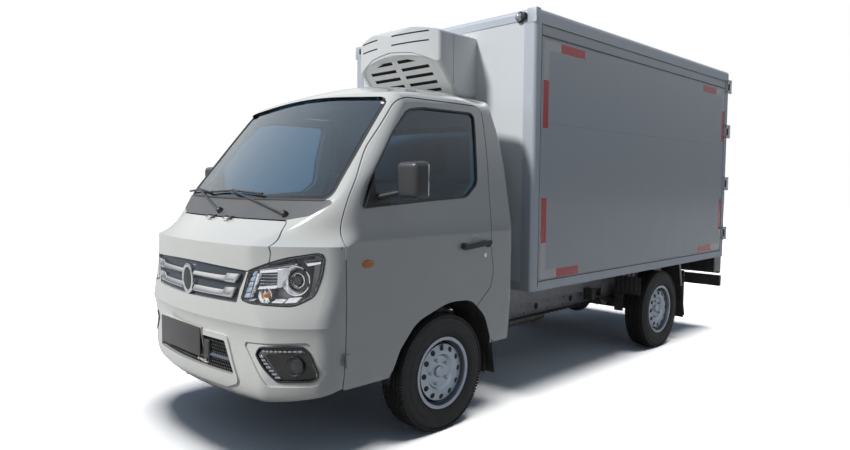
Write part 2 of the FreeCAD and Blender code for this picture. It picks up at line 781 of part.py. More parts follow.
rail = body("rail")
rail_pad = pad(rail, profile(rail, "rail_side", "XZ_Plane", rail_outline(0)), S.rail_width)
doc.recompute()
web = profile(rail, "rail_hollow", "XZ_Plane", rail_outline(S.rail_wall))
hollow = rail.newObject("PartDesign::Pocket", "rail_pocket")
hollow.Profile = web
bind(hollow, "Length", S.rail_width)
hollow.Offset = 0
hollow.SideType = "One side"
web.AttachmentOffset = Placement(Vector(0, 0, S.rail_width / 2 - S.rail_wall), Rotation())
hollow.Reversed = False
bind(rail, "Placement.Base.y", rail_y)
rail.Tip = hollow
node("frame_rails", both(rail))

cross_x = [(820, 305, 60), (-700, 400, 70), (-1450, 400, 70), (-2050, 400, 70), (-3330, 400, 70),
           (-3625, 390, 90)]
members = []
for index, (x, z, depth) in enumerate(cross_x):
    members.append(block(f"cross_{index}", x - 35, x + 35, -(rail_y - S.rail_width / 2),
                         rail_y - S.rail_width / 2, z, z + depth))
pads = block("cab_pad", 670, 730, rail_y - 25, rail_y + 25, front_top, floor_under)
posts = block("cab_post", -585, -535, rail_y - 25, rail_y + 25, S.rail_top, S.seat_deck)
node("cross_members", members + both(pads) + both(posts))
subframe = [block("subframe_beam", box_rear + 70, box_front - 60, rail_y - 25, rail_y + 25,
                  S.rail_top, S.rail_top + S.subframe_depth)]
bearers = []
bearer_bottom = S.box_bottom - S.bearer_depth
bearer_half = S.box_half - 250
bearer_pitch = (S.box_length - 180) / 6
for index in range(7):
    x = box_front - 90 - index * bearer_pitch
    bearers.append(block(f"bearer_{index}", x - S.bearer_width / 2, x + S.bearer_width / 2,
                         -bearer_half, bearer_half, bearer_bottom, S.box_bottom))
node("subframe", both(subframe[0]))
node("cross_bearers", bearers)

# Box body: sandwich panels held by rounded aluminium edge sections
front_face = box_front - S.edge_thick
edge_back = box_front - S.edge_depth
edge_low = box_top - S.edge_depth
side_panel = block("side_panel", portal_front, edge_back, inner_half, panel_half, S.box_bottom, edge_low)
node("box_sides", both(side_panel))
node("box_front", [block("front_panel", front_face - S.box_wall, front_face, -inner_half, inner_half,
                         floor_top, roof_bottom)])
node("box_floor", [block("floor_panel", portal_front, front_face, -inner_half, inner_half,
                         S.box_bottom, floor_top)])
node("box_roof", [block("roof_panel", portal_front, edge_back, -inner_half, inner_half,
                        roof_bottom, box_top - S.edge_thick)])


def box_corner(edge):
    """Tells the outer corner lines of the box: up its front, along and across its roof."""
    bounds = edge.BoundBox
    at_side = bounds.YLength < 1 and abs(abs(bounds.YMax) - S.box_half) < 1
    at_top = bounds.ZLength < 1 and abs(bounds.ZMax - box_top) < 1
    at_front = bounds.XLength < 1 and abs(bounds.XMax - box_front) < 1
    return bounds.DiagonalLength > 50 and at_side + at_top + at_front == 2


post = block("portal_post", box_rear, portal_front, S.box_half - S.post_width, S.box_half,
             S.box_bottom, box_top)
header = block("portal_header", box_rear, portal_front, -S.box_half, S.box_half,
               roof_bottom - 4, box_top)
sill = block("portal_sill", box_rear, portal_front, -S.box_half, S.box_half, S.box_bottom, floor_top)
portal = fuse("portal_frame", both(post) + [header, sill])
node("rear_portal", [rounded("portal_round", portal, S.edge_radius, box_corner)])

front_leg = 71
side_leg = 87
rail_leg = 92
sill_leg = 54
roof_leg = 60
edges = []
for name, x0, x1, y0, y1, z0, z1 in (
    ("corner_post", edge_back, box_front, inner_half, S.box_half, S.box_bottom, box_top),
    ("corner_side", box_front - front_leg, box_front, panel_half, S.box_half, S.box_bottom, box_top),
    ("corner_front", front_face, box_front, S.box_half - side_leg, S.box_half, S.box_bottom, box_top),
    ("top_roll", portal_front, box_front, inner_half, S.box_half, edge_low, box_top),
    ("top_side", portal_front, box_front, panel_half, S.box_half, box_top - rail_leg, box_top),
    ("top_face", portal_front, box_front, S.box_half - roof_leg, S.box_half, box_top - S.edge_thick,
     box_top),
    ("low_side", portal_front, box_front, panel_half, S.box_half, S.box_bottom,
     S.box_bottom + sill_leg),
):
    edges.extend(both(block(name, x0, x1, y0, y1, z0, z1)))
edges.append(block("front_roll", edge_back, box_front, -inner_half, inner_half, roof_bottom, box_top))
edges.append(block("front_top", front_face, box_front, -S.box_half, S.box_half, box_top - roof_leg,
                   box_top))
edges.append(block("front_top_face", box_front - roof_leg, box_front, -S.box_half, S.box_half,
                   box_top - S.edge_thick, box_top))
edges.append(block("front_low", front_face, box_front, -S.box_half, S.box_half, S.box_bottom,
                   S.box_bottom + sill_leg))
edge_frame = fuse("edge_frame", edges)
node("box_edges", [rounded("edge_round", edge_frame, S.edge_radius, box_corner)])

# Rear doors with lock rods and hinges
leaf_z0 = floor_top + S.door_clear
leaf_z1 = roof_bottom - 4 - S.door_clear
leaf_outer = S.box_half - S.post_width - S.door_clear
leaf = block("leaf", box_rear, box_rear + S.leaf_thick, S.door_clear, leaf_outer, leaf_z0, leaf_z1)
hinge_axis_x = box_rear - S.rear_hinge_back
hinge_axis_y = S.box_half + S.rear_hinge_out
hinge_z = [860, 1320, 1800, 2210]
gear = []
rod_y = 95
rod_x = box_rear - S.lock_proud + S.lock_rod_radius + 4
gear.append(rod("lock_rod", "z", rod_x, rod_y, floor_top - 40, leaf_z1 - leaf_z0 + 80 + 20,
                S.lock_rod_radius))
for index, z in enumerate((900, 1130, 1500, 1900, 2200)):
    gear.append(block(f"rod_guide_{index}", box_rear - S.lock_proud, box_rear, rod_y - 28, rod_y + 28,
                      z, z + 50))
gear.append(block("lock_handle", rod_x - 12, rod_x, rod_y, rod_y + 330, 1200, 1236))
gear.append(block("handle_catch", rod_x - 12, box_rear, rod_y + 250, rod_y + 290, 1180, 1256))
gear_set = fuse("lock_gear", gear)
hinge_parts = []
for index, z in enumerate(hinge_z):
    strap = block(f"strap_{index}", hinge_axis_x - 4, box_rear, leaf_outer - 120, leaf_outer, z, z + 70)
    neck = block(f"neck_{index}", hinge_axis_x - 5, hinge_axis_x + 5, leaf_outer - 120, hinge_axis_y,
                 z, z + 70)
    knuckle = rod(f"hinge_knuckle_{index}", "z", hinge_axis_x, hinge_axis_y, z, 70, 11)
    hinge_parts.append(fuse(f"hinge_{index}", [strap, neck, knuckle]))
fixed = []
for index, z in enumerate(hinge_z):
    for level, low in enumerate((z - 25 - S.seat_gap, z + 70 + S.seat_gap)):
        ear = rod(f"ear_{index}_{level}", "z", hinge_axis_x, hinge_axis_y, low, 25, 11)
        arm_back = block(f"ear_arm_{index}_{level}", hinge_axis_x, hinge_axis_x + 70, hinge_axis_y - 5,
                         hinge_axis_y + 5, low, low + 25)
        foot_block = block(f"ear_foot_{index}_{level}", hinge_axis_x + 40, hinge_axis_x + 70,
                           S.box_half, hinge_axis_y, low, low + 25)
        fixed.append(fuse(f"hinge_ear_{index}_{level}", [ear, arm_back, foot_block]))
node("hinge_brackets", [piece for one in fixed for piece in both(one)])
node("rear_door_left", [leaf])
node("rear_door_gear_left", [gear_set] + hinge_parts)
node("rear_door_right", [mirrored(leaf)])
node("rear_door_gear_right", [mirrored(gear_set)] + [mirrored(one) for one in hinge_parts])

# Cooling unit: a crowned, bowed hood with two grooves and an arched grille of slots; and the
# evaporator that hangs inside
unit_back = -(S.box_front + S.edge_thick)
unit_bow = 71
unit_drop = 46
groove_depth = 8
panel_depth = 6
slot_depth = 20


def unit_form(inset):
    """The hood's solid form, its front moved back by a depth."""
    front = -S.unit_front - inset
    side = prism([
        (unit_back, S.unit_bottom, 0), (-548 - inset, S.unit_bottom, 12), (-352 - inset, 2118, 40),
        (front, 2146, 20), (front, S.unit_top, 45), (unit_back, S.unit_top, 0),
    ], "y", -S.unit_half, S.unit_half)
    low = S.unit_top - unit_drop
    crown_foot = [Vector(unit_back, y, z) for y, z in (
        (S.unit_half, low), (S.unit_half, S.unit_bottom), (-S.unit_half, S.unit_bottom),
        (-S.unit_half, low))]
    crown = Part.Wire([three_point_arc(crown_foot[-1], Vector(unit_back, 0, S.unit_top), crown_foot[0])]
                      + [Part.makeLine(*ends) for ends in zip(crown_foot, crown_foot[1:])])
    bow_foot = [Vector(x, y, S.unit_bottom) for x, y in (
        (front - unit_bow, -S.unit_half), (unit_back, -S.unit_half), (unit_back, S.unit_half),
        (front - unit_bow, S.unit_half))]
    bow = Part.Wire([three_point_arc(bow_foot[-1], Vector(front, 0, S.unit_bottom), bow_foot[0])]
                    + [Part.makeLine(*ends) for ends in zip(bow_foot, bow_foot[1:])])
    crowned = side.common(Part.Face(crown).extrude(Vector(far, 0, 0)))
    return crowned.common(Part.Face(bow).extrude(Vector(0, 0, far)))


unit = unit_form(0)
unit = unit.makeFillet(30, [e for e in unit.Edges
                            if abs(abs(e.BoundBox.YMin) - S.unit_half) < 1 and e.BoundBox.YLength < 1
                            and e.BoundBox.XMax > unit_back + 5 and e.BoundBox.ZMax > S.unit_bottom + 5])
groove_core = unit_form(groove_depth)
for z in (2207, 2264):
    for y0, y1 in ((-330, -130), (15, 310)):
        groove = Part.makeBox(far, y1 - y0, 9, Vector(unit_back, y0, z)).cut(groove_core)
        unit = unit.cut(groove)
arch_panel = prism([(-330, 1860, 0), (-345, 2090, 60), (-190, 2150, 150), (0, 2170, 300),
                    (190, 2150, 150), (345, 2090, 60), (330, 1860, 0)], "x", unit_back, 0)
unit = unit.cut(arch_panel.cut(unit_form(panel_depth)))
slot_core = unit_form(slot_depth)
slot_field = prism([(-300, 1900, 0), (-300, 2070, 60), (0, 2150, 300), (300, 2070, 60), (300, 1900, 0)],
                   "x", unit_back, 0)
for row in range(5):
    for y0 in (-275, 27):
        slot = Part.makeBox(far, 248, 17, Vector(unit_back, y0, 1924 + row * 44)).cut(slot_core)
        unit = unit.cut(slot.common(slot_field))
node("cooling_unit", [solid("unit_solid", unit)])
evaporator_back = front_face - S.box_wall
EVAPORATOR = [
    (evaporator_back, roof_bottom, 0), (box_front - 560, roof_bottom, 0),
    (box_front - 560, roof_bottom - 70, 30), (box_front - 330, roof_bottom - 190, 60),
    (evaporator_back, roof_bottom - 190, 0),
]
node("evaporator", [solid("evaporator_form", prism(EVAPORATOR, "y", -560, 560))])

# Wheels: pressed steel rims with a ring of vents, and tyres
half_tyre = S.tyre_width / 2
half_rim = S.rim_width / 2
flange_r = S.bead_radius + S.flange_height
RIM = [
    (half_rim, flange_r), (half_rim + 5, flange_r - 2), (half_rim + 3, S.bead_radius - 2),
    (half_rim - 30, S.bead_radius - 6), (half_rim - 46, S.bead_radius - 18), (54, 152), (62, 118), (56, 98),
    (40, 84), (S.hub_face + 8, 32), (S.hub_face, 32), (S.hub_face, 92), (46, 104), (52, 118), (44, 150), (30, 154),
    (-half_rim + 26, S.bead_radius - 18), (-half_rim + 12, S.bead_radius - 6),
    (-half_rim - 3, S.bead_radius - 4), (-half_rim - 5, flange_r - 2), (-half_rim, flange_r),
    (-half_rim, S.bead_radius), (-half_rim + 20, S.bead_radius), (-half_rim + 32, S.bead_radius - 12),
    (half_rim - 40, S.bead_radius - 12), (half_rim - 28, S.bead_radius), (half_rim, S.bead_radius),
]
r = S.tyre_radius
TYRE = [
    (-half_rim + 4, S.bead_radius + 0.5), (half_rim - 4, S.bead_radius + 0.5),
    (half_rim - 1, S.bead_radius + 22), (half_tyre - 4, S.bead_radius + 48), (half_tyre, S.bead_radius + 74),
    (half_tyre - 5, r - 34), (half_tyre - 14, r - 14), (half_tyre - 26, r - 4), (half_tyre - 44, r),
    (-half_tyre + 44, r), (-half_tyre + 26, r - 4), (-half_tyre + 14, r - 14), (-half_tyre + 5, r - 34),
    (-half_tyre, S.bead_radius + 74), (-half_tyre + 4, S.bead_radius + 48), (-half_rim + 1, S.bead_radius + 22),
]


def wheel(corner, x, y, turned):
    """One wheel: tyre and rim bodies spun round the axle."""
    made = []
    for kind, points in (("tyre", TYRE), ("rim", RIM)):
        piece = body(f"{kind}_{corner}_body")
        sketch = profile(piece, f"{kind}_{corner}_section", "XY_Plane", [(v, u) for u, v in points])
        revolve(piece, sketch, "V_Axis")
        doc.recompute()
        if kind == "rim":
            hole = circle(piece, f"vent_{corner}", "XZ_Plane", S.vent_circle, 0, S.vent_radius)
            vent = piece.newObject("PartDesign::Pocket", f"vents_{corner}")
            vent.Profile = hole
            vent.Type = "ThroughAll"
            vent.SideType = "Two sides"
            vent.Type2 = "ThroughAll"
            ring = piece.newObject("PartDesign::PolarPattern", f"vent_ring_{corner}")
            ring.Originals = [vent]
            ring.Axis = (sketch, ["V_Axis"])
            ring.Angle = 360
            ring.Occurrences = 12
            piece.Tip = ring
        piece.Placement = Placement(Vector(), Rotation(Vector(0, 0, 1), 180 if turned else 0))
        move_to(piece, x, y, axle_z)
        made.append(piece)
        node(f"{kind}_{corner}", [piece])
    return made


for corner, x, y, turned in (
    ("front_left", 0, S.front_track / 2, False),
    ("front_right", 0, -S.front_track / 2, True),
    ("rear_left", -S.wheelbase, S.rear_track / 2, False),
    ("rear_right", -S.wheelbase, -S.rear_track / 2, True),
):
    wheel(corner, x, y, turned)

# Front suspension and knuckles
kingpin_y = S.front_track / 2 - S.kingpin_offset
hub_seat = S.front_track / 2 + S.hub_face - S.seat_gap
stub = rod("stub", "y", 0, kingpin_y - 10, axle_z, hub_seat - kingpin_y + 10, 26)
carrier = block("carrier", -32, 32, kingpin_y - 20, kingpin_y + 20, axle_z - 75, axle_z + 70)
kingpin = rod("kingpin", "z", 0, kingpin_y, axle_z - 95, 185, 17)
disc = rod("brake_disc", "y", 0, kingpin_y + 48, axle_z, 14, 118)
steer_arm = block("steer_arm", -150, 0, kingpin_y - 40, kingpin_y - 10, axle_z - 30, axle_z - 8)
hub = rod("hub", "y", 0, hub_seat - 20, axle_z, 20, 60)
knuckle = fuse("knuckle_form", [stub, carrier, kingpin, disc, hub, steer_arm])
node("knuckle_left", [knuckle])
node("knuckle_right", [mirrored(knuckle)])
ball_z = axle_z - 95 - S.seat_gap
top_ball_z = axle_z + 90 + S.seat_gap
rail_face = rail_y + S.rail_width / 2
lower_arm = block("lower_arm", -40, 40, rail_y - 120, kingpin_y + 10, ball_z - 26, ball_z)
upper_arm = block("upper_arm", -25, 25, rail_face, kingpin_y + 10, top_ball_z, top_ball_z + 18)
damper = rod("damper", "z", 0, rail_y + 140, ball_z, S.seat_deck - ball_z, 38)
beam = block("front_beam", -90, 90, -(rail_y - 60), rail_y - 60, ball_z - 30, ball_z + 30)
hanger = block("beam_hanger", -60, 60, rail_y - 100, rail_y - S.rail_width / 2, ball_z - 20, 470)
arms = fuse("front_beam_set", [beam] + both(lower_arm) + both(upper_arm) + both(damper) + both(hanger))
node("front_suspension", [arms])

# Rear axle on leaf springs
tube = rod("axle_tube", "y", -S.wheelbase, -(S.rear_track / 2 - 12), axle_z, S.rear_track - 24, 38)
case = doc.addObject("Part::Sphere", "diff_case")
bind(case, "Radius", S.tyre_radius * 0.4)
move_to(case, -S.wheelbase, 0, axle_z)
nose_tube = rod("pinion", "x", -S.wheelbase, 0, axle_z, 230, 45)
drum = rod("drum", "y", -S.wheelbase, S.rear_track / 2 - 60, axle_z, 60 + S.hub_face - S.seat_gap, 120)
node("rear_axle", [fuse("rear_axle_form", [tube, case, nose_tube] + both(drum))])
spring_y = rail_y + 70
leaf_half = 560
spring_sag = 70
spring_top = axle_z + 74.3
spring_radius = (leaf_half ** 2 + spring_sag ** 2) / (2 * spring_sag)
leaf_thick = 12
spring_width = 60
stack = None
for index, reach in enumerate((leaf_half, 430, 300)):
    inner_radius = spring_radius + index * leaf_thick
    centre = Vector(-S.wheelbase, spring_y - spring_width / 2, spring_top + spring_radius)
    arc_leaf = Part.makeCylinder(inner_radius + leaf_thick, spring_width, centre, Vector(0, 1, 0))
    arc_leaf = arc_leaf.cut(Part.makeCylinder(inner_radius, spring_width, centre, Vector(0, 1, 0)))
    keep = Part.makeBox(2 * reach, spring_width, 200,
                        Vector(-S.wheelbase - reach, spring_y - spring_width / 2, spring_top - 40))
    one = arc_leaf.common(keep)
    stack = one if stack is None else stack.fuse(one)
for way in (1, -1):
    x = -S.wheelbase + way * leaf_half
    low = spring_top + 30
    stack = stack.fuse(Part.makeBox(60, 60 + spring_y - 30 - rail_y - S.rail_width / 2, 90,
                                    Vector(x - 30, rail_y + S.rail_width / 2, low)))
node("rear_springs", [solid("spring_form", pair(stack))])

# Drive line and tanks
engine = block("engine_block", -620, -130, -200, 200, 330, 690)
mounts = both(block("engine_mount", -430, -370, 200, rail_y - S.rail_width / 2, 400, 440))
node("engine", [fuse("engine_form", [engine] + mounts)])
shaft_start = Vector(-621, 0, 362)
shaft_end = Vector(-S.wheelbase + 231, 0, axle_z)
shaft = Part.makeCylinder(30, (shaft_end - shaft_start).Length, shaft_start, shaft_end - shaft_start)
node("propeller_shaft", [solid("shaft_form", shaft)])
exhaust_y = 180
down_pipe = rod("down_pipe", "x", -1300, exhaust_y, 345, 680, 22)
muffler = rod("muffler", "x", -1750, exhaust_y, 325, 450, 70)
tail_pipe = rod("tail_pipe", "x", -2250, exhaust_y, 325, 500, 22)
muffler_strap = block("muffler_strap", -1480, -1420, exhaust_y - 20, exhaust_y + 20, 380, 400)
node("exhaust", [fuse("exhaust_form", [down_pipe, muffler, tail_pipe, muffler_strap])])
tank = block("tank_block", -1560, -950, -(rail_y + S.rail_width / 2 + 270),
             -(rail_y + S.rail_width / 2), 290, 540)
node("fuel_tank", [rounded("tank_form", tank, 45, along(Vector(1, 0, 0)))])

# Spare wheel under the tail
spare_x = -3330
SPARE = [(14, 0), (14, 60), (30, 100), (30, 150), (50, S.bead_radius), (half_tyre - 6, S.bead_radius + 40),
         (half_tyre - 6, r - 40), (half_tyre - 30, r), (-half_tyre + 30, r), (-half_tyre + 6, r - 40),
         (-half_tyre + 6, S.bead_radius + 40), (-50, S.bead_radius), (-40, 155), (14, 140), (0, 100), (0, 0)]
spare = body("spare_body")
revolve(spare, profile(spare, "spare_section", "XZ_Plane", [(v, u) for u, v in SPARE]), "V_Axis")
move_to(spare, spare_x, 0, 292)
spare_rod = rod("spare_rod", "z", spare_x, 0, 300, 100, 11)
node("spare_wheel", [fuse("spare_form", [spare, spare_rod])])

# Splash guards
def grown_arch(grow, start, end):
    return prism(ARCH, "y", start, end, grow)


liner = grown_arch(6, 590, 740).cut(grown_arch(2, 400, 800))
liner = liner.cut(Part.makeBox(2000, 1000, 400, Vector(-1000, 200, -50)))
liner = liner.fuse(Part.makeBox(120, 60, S.seat_deck - 701, Vector(-80, 600, 701)))
flap = Part.makeBox(6, 160, 250, Vector(-402, 600, 230))
front_guard = liner.fuse(flap).cut(shell)
flap_rod = rod("flap_rod", "y", -3040, rail_y + 25, 560, 375, 12)
rear_flap = block("rear_flap", -3043, -3037, 628, 800, 190, 600)
guard_x = box_front - 90 - 3 * bearer_pitch
guard = block("wheel_guard", guard_x - 3, guard_x + 3, bearer_half - 20, 800, 330, bearer_bottom)
guard_hanger = block("guard_hanger", guard_x - 3, guard_x + 3, bearer_half + 0.3, 640,
                     bearer_bottom, S.box_bottom)
node("splash_guards", [solid("front_guard_form", pair(front_guard))]
     + both(fuse("rear_flap_set", [flap_rod, rear_flap])) + both(fuse("wheel_guard_set", [guard, guard_hanger])))

# Tail: lamp panel, underride bar and tow eyes
panel = block("tail_board", box_rear + 15, box_rear + 60, -843, 843, 520, S.box_bottom)
node("tail_panel", [panel])
bar = block("underride_tube", box_rear + 10, box_rear + 50, -851, 851, 398, 497)
supports = both(block("bar_support", box_rear + 50, rail_rear, rail_y - 27, rail_y + 27, 400, 480))
node("underride_bar", [fuse("underride_form", [bar] + supports)])
cluster = block("rear_cluster", box_rear + 2, box_rear + 15, 560, 820, 540, 630)
top_marker = rod("top_marker", "x", box_front, 734, 2337, 12, 22)
node("lamps", both(cluster) + both(top_marker))
rear_eye = cut("rear_eye", block("rear_eye_plate", box_rear + 30, box_rear + 100, -10, 10, 300, 390),
               rod("rear_eye_hole", "y", box_rear + 60, -20, 335, 40, 16))
front_eye = cut("front_eye", block("front_eye_plate", 800, 870, -rail_y - 10, -rail_y + 10, 225, 300),
                rod("front_eye_hole", "y", 836, -rail_y - 20, 258, 40, 16))
node("tow_eyes", [rear_eye, front_eye])


def write_parts():
    """Checks every object and writes one file for each sub-part."""
    doc.recompute()
    for thing in doc.Objects:
        if {"Invalid", "Error"} & set(thing.State):
            raise RuntimeError(f"{thing.Name} failed: {thing.State}")
    os.makedirs("parts", exist_ok=True)
    for made in nodes:
        shape = made.Shape
        if shape.isNull() or not shape.isValid() or not shape.Solids:
            raise RuntimeError(f"{made.Label} has no sound shape")
        shape.exportStep(f"parts/{made.Label}.step")


write_parts()
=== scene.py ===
import math
import bmesh
import bpy
from mathutils import Matrix, Vector
from mathutils.bvhtree import BVHTree


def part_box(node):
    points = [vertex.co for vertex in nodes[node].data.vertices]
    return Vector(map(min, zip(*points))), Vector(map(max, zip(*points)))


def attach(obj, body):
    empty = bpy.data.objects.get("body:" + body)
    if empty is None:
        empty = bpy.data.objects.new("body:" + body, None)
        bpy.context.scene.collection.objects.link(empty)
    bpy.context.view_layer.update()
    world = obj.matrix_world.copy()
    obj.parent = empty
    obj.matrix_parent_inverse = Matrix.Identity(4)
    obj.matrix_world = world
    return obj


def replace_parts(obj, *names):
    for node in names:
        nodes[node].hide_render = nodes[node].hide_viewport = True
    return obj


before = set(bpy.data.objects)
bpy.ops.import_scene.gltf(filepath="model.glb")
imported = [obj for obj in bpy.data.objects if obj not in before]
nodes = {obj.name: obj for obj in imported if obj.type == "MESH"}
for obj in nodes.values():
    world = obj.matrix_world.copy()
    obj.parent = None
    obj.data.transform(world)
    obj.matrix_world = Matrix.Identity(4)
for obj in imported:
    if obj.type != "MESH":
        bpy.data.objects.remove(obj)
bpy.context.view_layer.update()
SIDES = (("left", 1), ("right", -1))

# Camera: stands at the truck's front left corner, a little below the mirrors.
# It is a 27 mm lens, level to within a few degrees.
scene = bpy.context.scene
yaw, pitch, roll = (math.radians(angle) for angle in (225.086, -3.594, 0.457))
ahead = Vector((math.cos(yaw) * math.cos(pitch), math.sin(yaw) * math.cos(pitch), math.sin(pitch)))
level_right = Vector((math.sin(yaw), -math.cos(yaw), 0))
level_up = level_right.cross(ahead)
camera_right = level_right * math.cos(roll) + level_up * math.sin(roll)
camera_up = level_up * math.cos(roll) - level_right * math.sin(roll)
camera = bpy.data.objects.new("camera", bpy.data.cameras.new("camera"))
camera.data.sensor_fit = "HORIZONTAL"
camera.data.lens = 27.25
camera.data.clip_end = 200
camera.matrix_world = Matrix.Translation((3.8463, 3.1384, 1.3244)) @ Matrix(
    (camera_right, camera_up, -ahead)).transposed().to_4x4()
scene.collection.objects.link(camera)
scene.camera = camera
scene.view_settings.view_transform = "Standard"


# Studio: a pale floor that runs to a white horizon, a low sun from the truck's front right
# that lights the truck alone, a broad lamp overhead that lights the floor, and an even sky.
def adder(tree):
    """A short way to add a node to a tree, with its settings and what goes into its sockets."""
    def add(kind, **inputs):
        made = tree.nodes.new(kind)
        for key, value in inputs.items():
            if hasattr(made, key) and key not in made.inputs:
                setattr(made, key, value)
                continue
            socket = made.inputs[int(key[1:])] if key[0] == "_" else made.inputs[key.replace("_", " ")]
            if isinstance(value, bpy.types.Node):
                value = value.outputs[0]
            if isinstance(value, bpy.types.NodeSocket):
                tree.links.new(value, socket)
            else:
                socket.default_value = value
        return made
    return add


def node_tree(owner):
    """The way to add nodes to the owner's emptied shader tree."""
    owner.use_nodes = True
    owner.node_tree.nodes.clear()
    return adder(owner.node_tree)


def calc(add, operation, *values, **more):
    """A Math node."""
    return add("ShaderNodeMath", operation=operation, **{f"_{k}": v for k, v in enumerate(values)}, **more)


def blend(add, share, first, second):
    """The colour between two colours."""
    return add("ShaderNodeMix", data_type="RGBA", _0=share, _6=first, _7=second).outputs[2]


sky = bpy.data.worlds.new("studio_sky")
scene.world = sky
add = node_tree(sky)
path = add("ShaderNodeLightPath").outputs
direction = add("ShaderNodeTexCoord").outputs["Generated"]
mirrored = add("ShaderNodeValToRGB", Fac=add("ShaderNodeSeparateXYZ", Vector=direction).outputs["Z"])
ramp = mirrored.color_ramp
ramp.elements[0].position, ramp.elements[0].color = 0.0, (0.20, 0.21, 0.22, 1)
ramp.elements[1].position, ramp.elements[1].color = 1.0, (0.50, 0.66, 0.90, 1)
for position, colour in ((0.12, (0.42, 0.45, 0.49, 1)), (0.34, (1, 1, 1, 1)), (0.62, (0.85, 0.92, 1, 1))):
    ramp.elements.new(position).color = colour
tinted = blend(add, path["Is Glossy Ray"], (0.074, 0.099, 0.136, 1), mirrored)
seen = calc(add, "MAXIMUM", path["Is Camera Ray"], path["Is Transmission Ray"])
add("ShaderNodeOutputWorld", Surface=add(
    "ShaderNodeBackground", Color=blend(add, seen, tinted, (1, 1, 1, 1)), Strength=1.0))


def sun_lamp(name, energy, angle, towards):
    """A sun of one strength and softness that stands in a direction."""
    made = bpy.data.objects.new(name, bpy.data.lights.new(name, "SUN"))
    made.data.energy = energy
    made.data.angle = math.radians(angle)
    made.rotation_euler = Vector(towards).to_track_quat("Z", "Y").to_euler()
    scene.collection.objects.link(made)
    return made


FLOOR_HALF = 45
floor_mesh = bpy.data.meshes.new("floor")
floor_mesh.from_pydata([(x * FLOOR_HALF, y * FLOOR_HALF, 0) for x, y in ((-1, -1), (1, -1), (1, 1), (-1, 1))],
                       [], [(0, 1, 2, 3)])
floor = bpy.data.objects.new("floor", floor_mesh)
scene.collection.objects.link(floor)
for lamp, state in ((sun_lamp("key_lamp", 2.95, 9, (0.72, -0.25, 0.65)), "EXCLUDE"),
                    (sun_lamp("floor_lamp", 3.0, 32, (-0.06, 0.08, 1.0)), "INCLUDE")):
    lit = bpy.data.collections.new(f"{lamp.name}_receivers")
    lit.objects.link(floor)
    lamp.light_linking.receiver_collection = lit
    lit.collection_objects[0].light_linking.link_state = state
pale_floor = bpy.data.materials.new("pale_floor")
add = node_tree(pale_floor)
path = add("ShaderNodeLightPath").outputs
bounce = blend(add, path["Is Glossy Ray"], (0.155, 0.155, 0.155, 1), (0.62, 0.62, 0.62, 1))
add("ShaderNodeOutputMaterial", Surface=add(
    "ShaderNodeBsdfDiffuse", Color=blend(add, path["Is Camera Ray"], bounce, (1.5, 1.48, 1.46, 1))))
floor_mesh.materials.append(pale_floor)


# Cab: pressed steel in off-white paint under clear lacquer, with a road film low down
# that thins out upwards. Doors, hood and bumper are painted with it; the bumper is plastic.
FRONT_AXLE_X = 1.3705


def at(x, y, z):
    """A place given in millimetres from the middle of the front axle's line on the floor."""
    return Vector((x / 1000 + FRONT_AXLE_X, y / 1000, z / 1000))


def millimetres(place):
    """A place's millimetres from the middle of the front axle's line on the floor."""
    return (place - at(0, 0, 0)) * 1000


def group(name, inputs, outputs, kind="ShaderNodeTree"):
    """An empty node group with named sockets, the way to add its nodes, and what it is given."""
    made = bpy.data.node_groups.new(name, kind)
    for label, sort, value in inputs:
        socket = made.interface.new_socket(label, in_out="INPUT", socket_type=f"NodeSocket{sort}")
        if value is not None:
            socket.default_value = value
    for label, sort in outputs:
        made.interface.new_socket(label, in_out="OUTPUT", socket_type=f"NodeSocket{sort}")
    add = adder(made)
    return made, add, add("NodeGroupInput").outputs


film, add, given = group("road film", [
    ("Height", "Float", 0.5), ("Amount", "Float", 0.3), ("Patch Size", "Float", 6.0),
    ("Clean", "Color", (1, 1, 1, 1)), ("Film", "Color", (0.24, 0.22, 0.19, 1)),
    ("Gloss", "Float", 0.2), ("Dull", "Float", 0.7)], [("Color", "Color"), ("Roughness", "Float")])
place = add("ShaderNodeTexCoord").outputs["Object"]
height = add("ShaderNodeSeparateXYZ", Vector=place).outputs["Z"]
patches = add("ShaderNodeTexNoise", Vector=place, Scale=given["Patch Size"], Detail=6.0, Roughness=0.62)
low = calc(add, "SUBTRACT", 1.35, calc(add, "DIVIDE", height, given["Height"]), use_clamp=True)
uneven = add("ShaderNodeMapRange", Value=patches, From_Min=0.32, From_Max=0.72)
mask = calc(add, "MULTIPLY", calc(add, "MULTIPLY", low, uneven), given["Amount"], use_clamp=True)
add("NodeGroupOutput", Color=blend(add, mask, given["Clean"], given["Film"]),
    Roughness=add("ShaderNodeMix", _0=mask, _2=given["Gloss"], _3=given["Dull"]))

grain, add, given = group("fine grain", [("Size", "Float", 400.0), ("Depth", "Float", 0.1),
                                         ("Stretch", "Vector", (1, 1, 1))], [("Normal", "Vector")])
spread = add("ShaderNodeVectorMath", operation="MULTIPLY", _0=add("ShaderNodeTexCoord").outputs["Object"],
             _1=given["Stretch"])
speck = add("ShaderNodeTexNoise", Vector=spread, Scale=given["Size"], Detail=3.0)
add("NodeGroupOutput", Normal=add("ShaderNodeBump", Strength=given["Depth"], Distance=0.001, Height=speck))


def grained(add, size, depth, stretch=(1, 1, 1)):
    """The fine grain's bumps."""
    return add("ShaderNodeGroup", node_tree=grain, Size=size, Depth=depth, Stretch=stretch)


def close_shader(add, **values):
    """The end of every material: one principled shader."""
    add("ShaderNodeOutputMaterial", Surface=add("ShaderNodeBsdfPrincipled", **values))


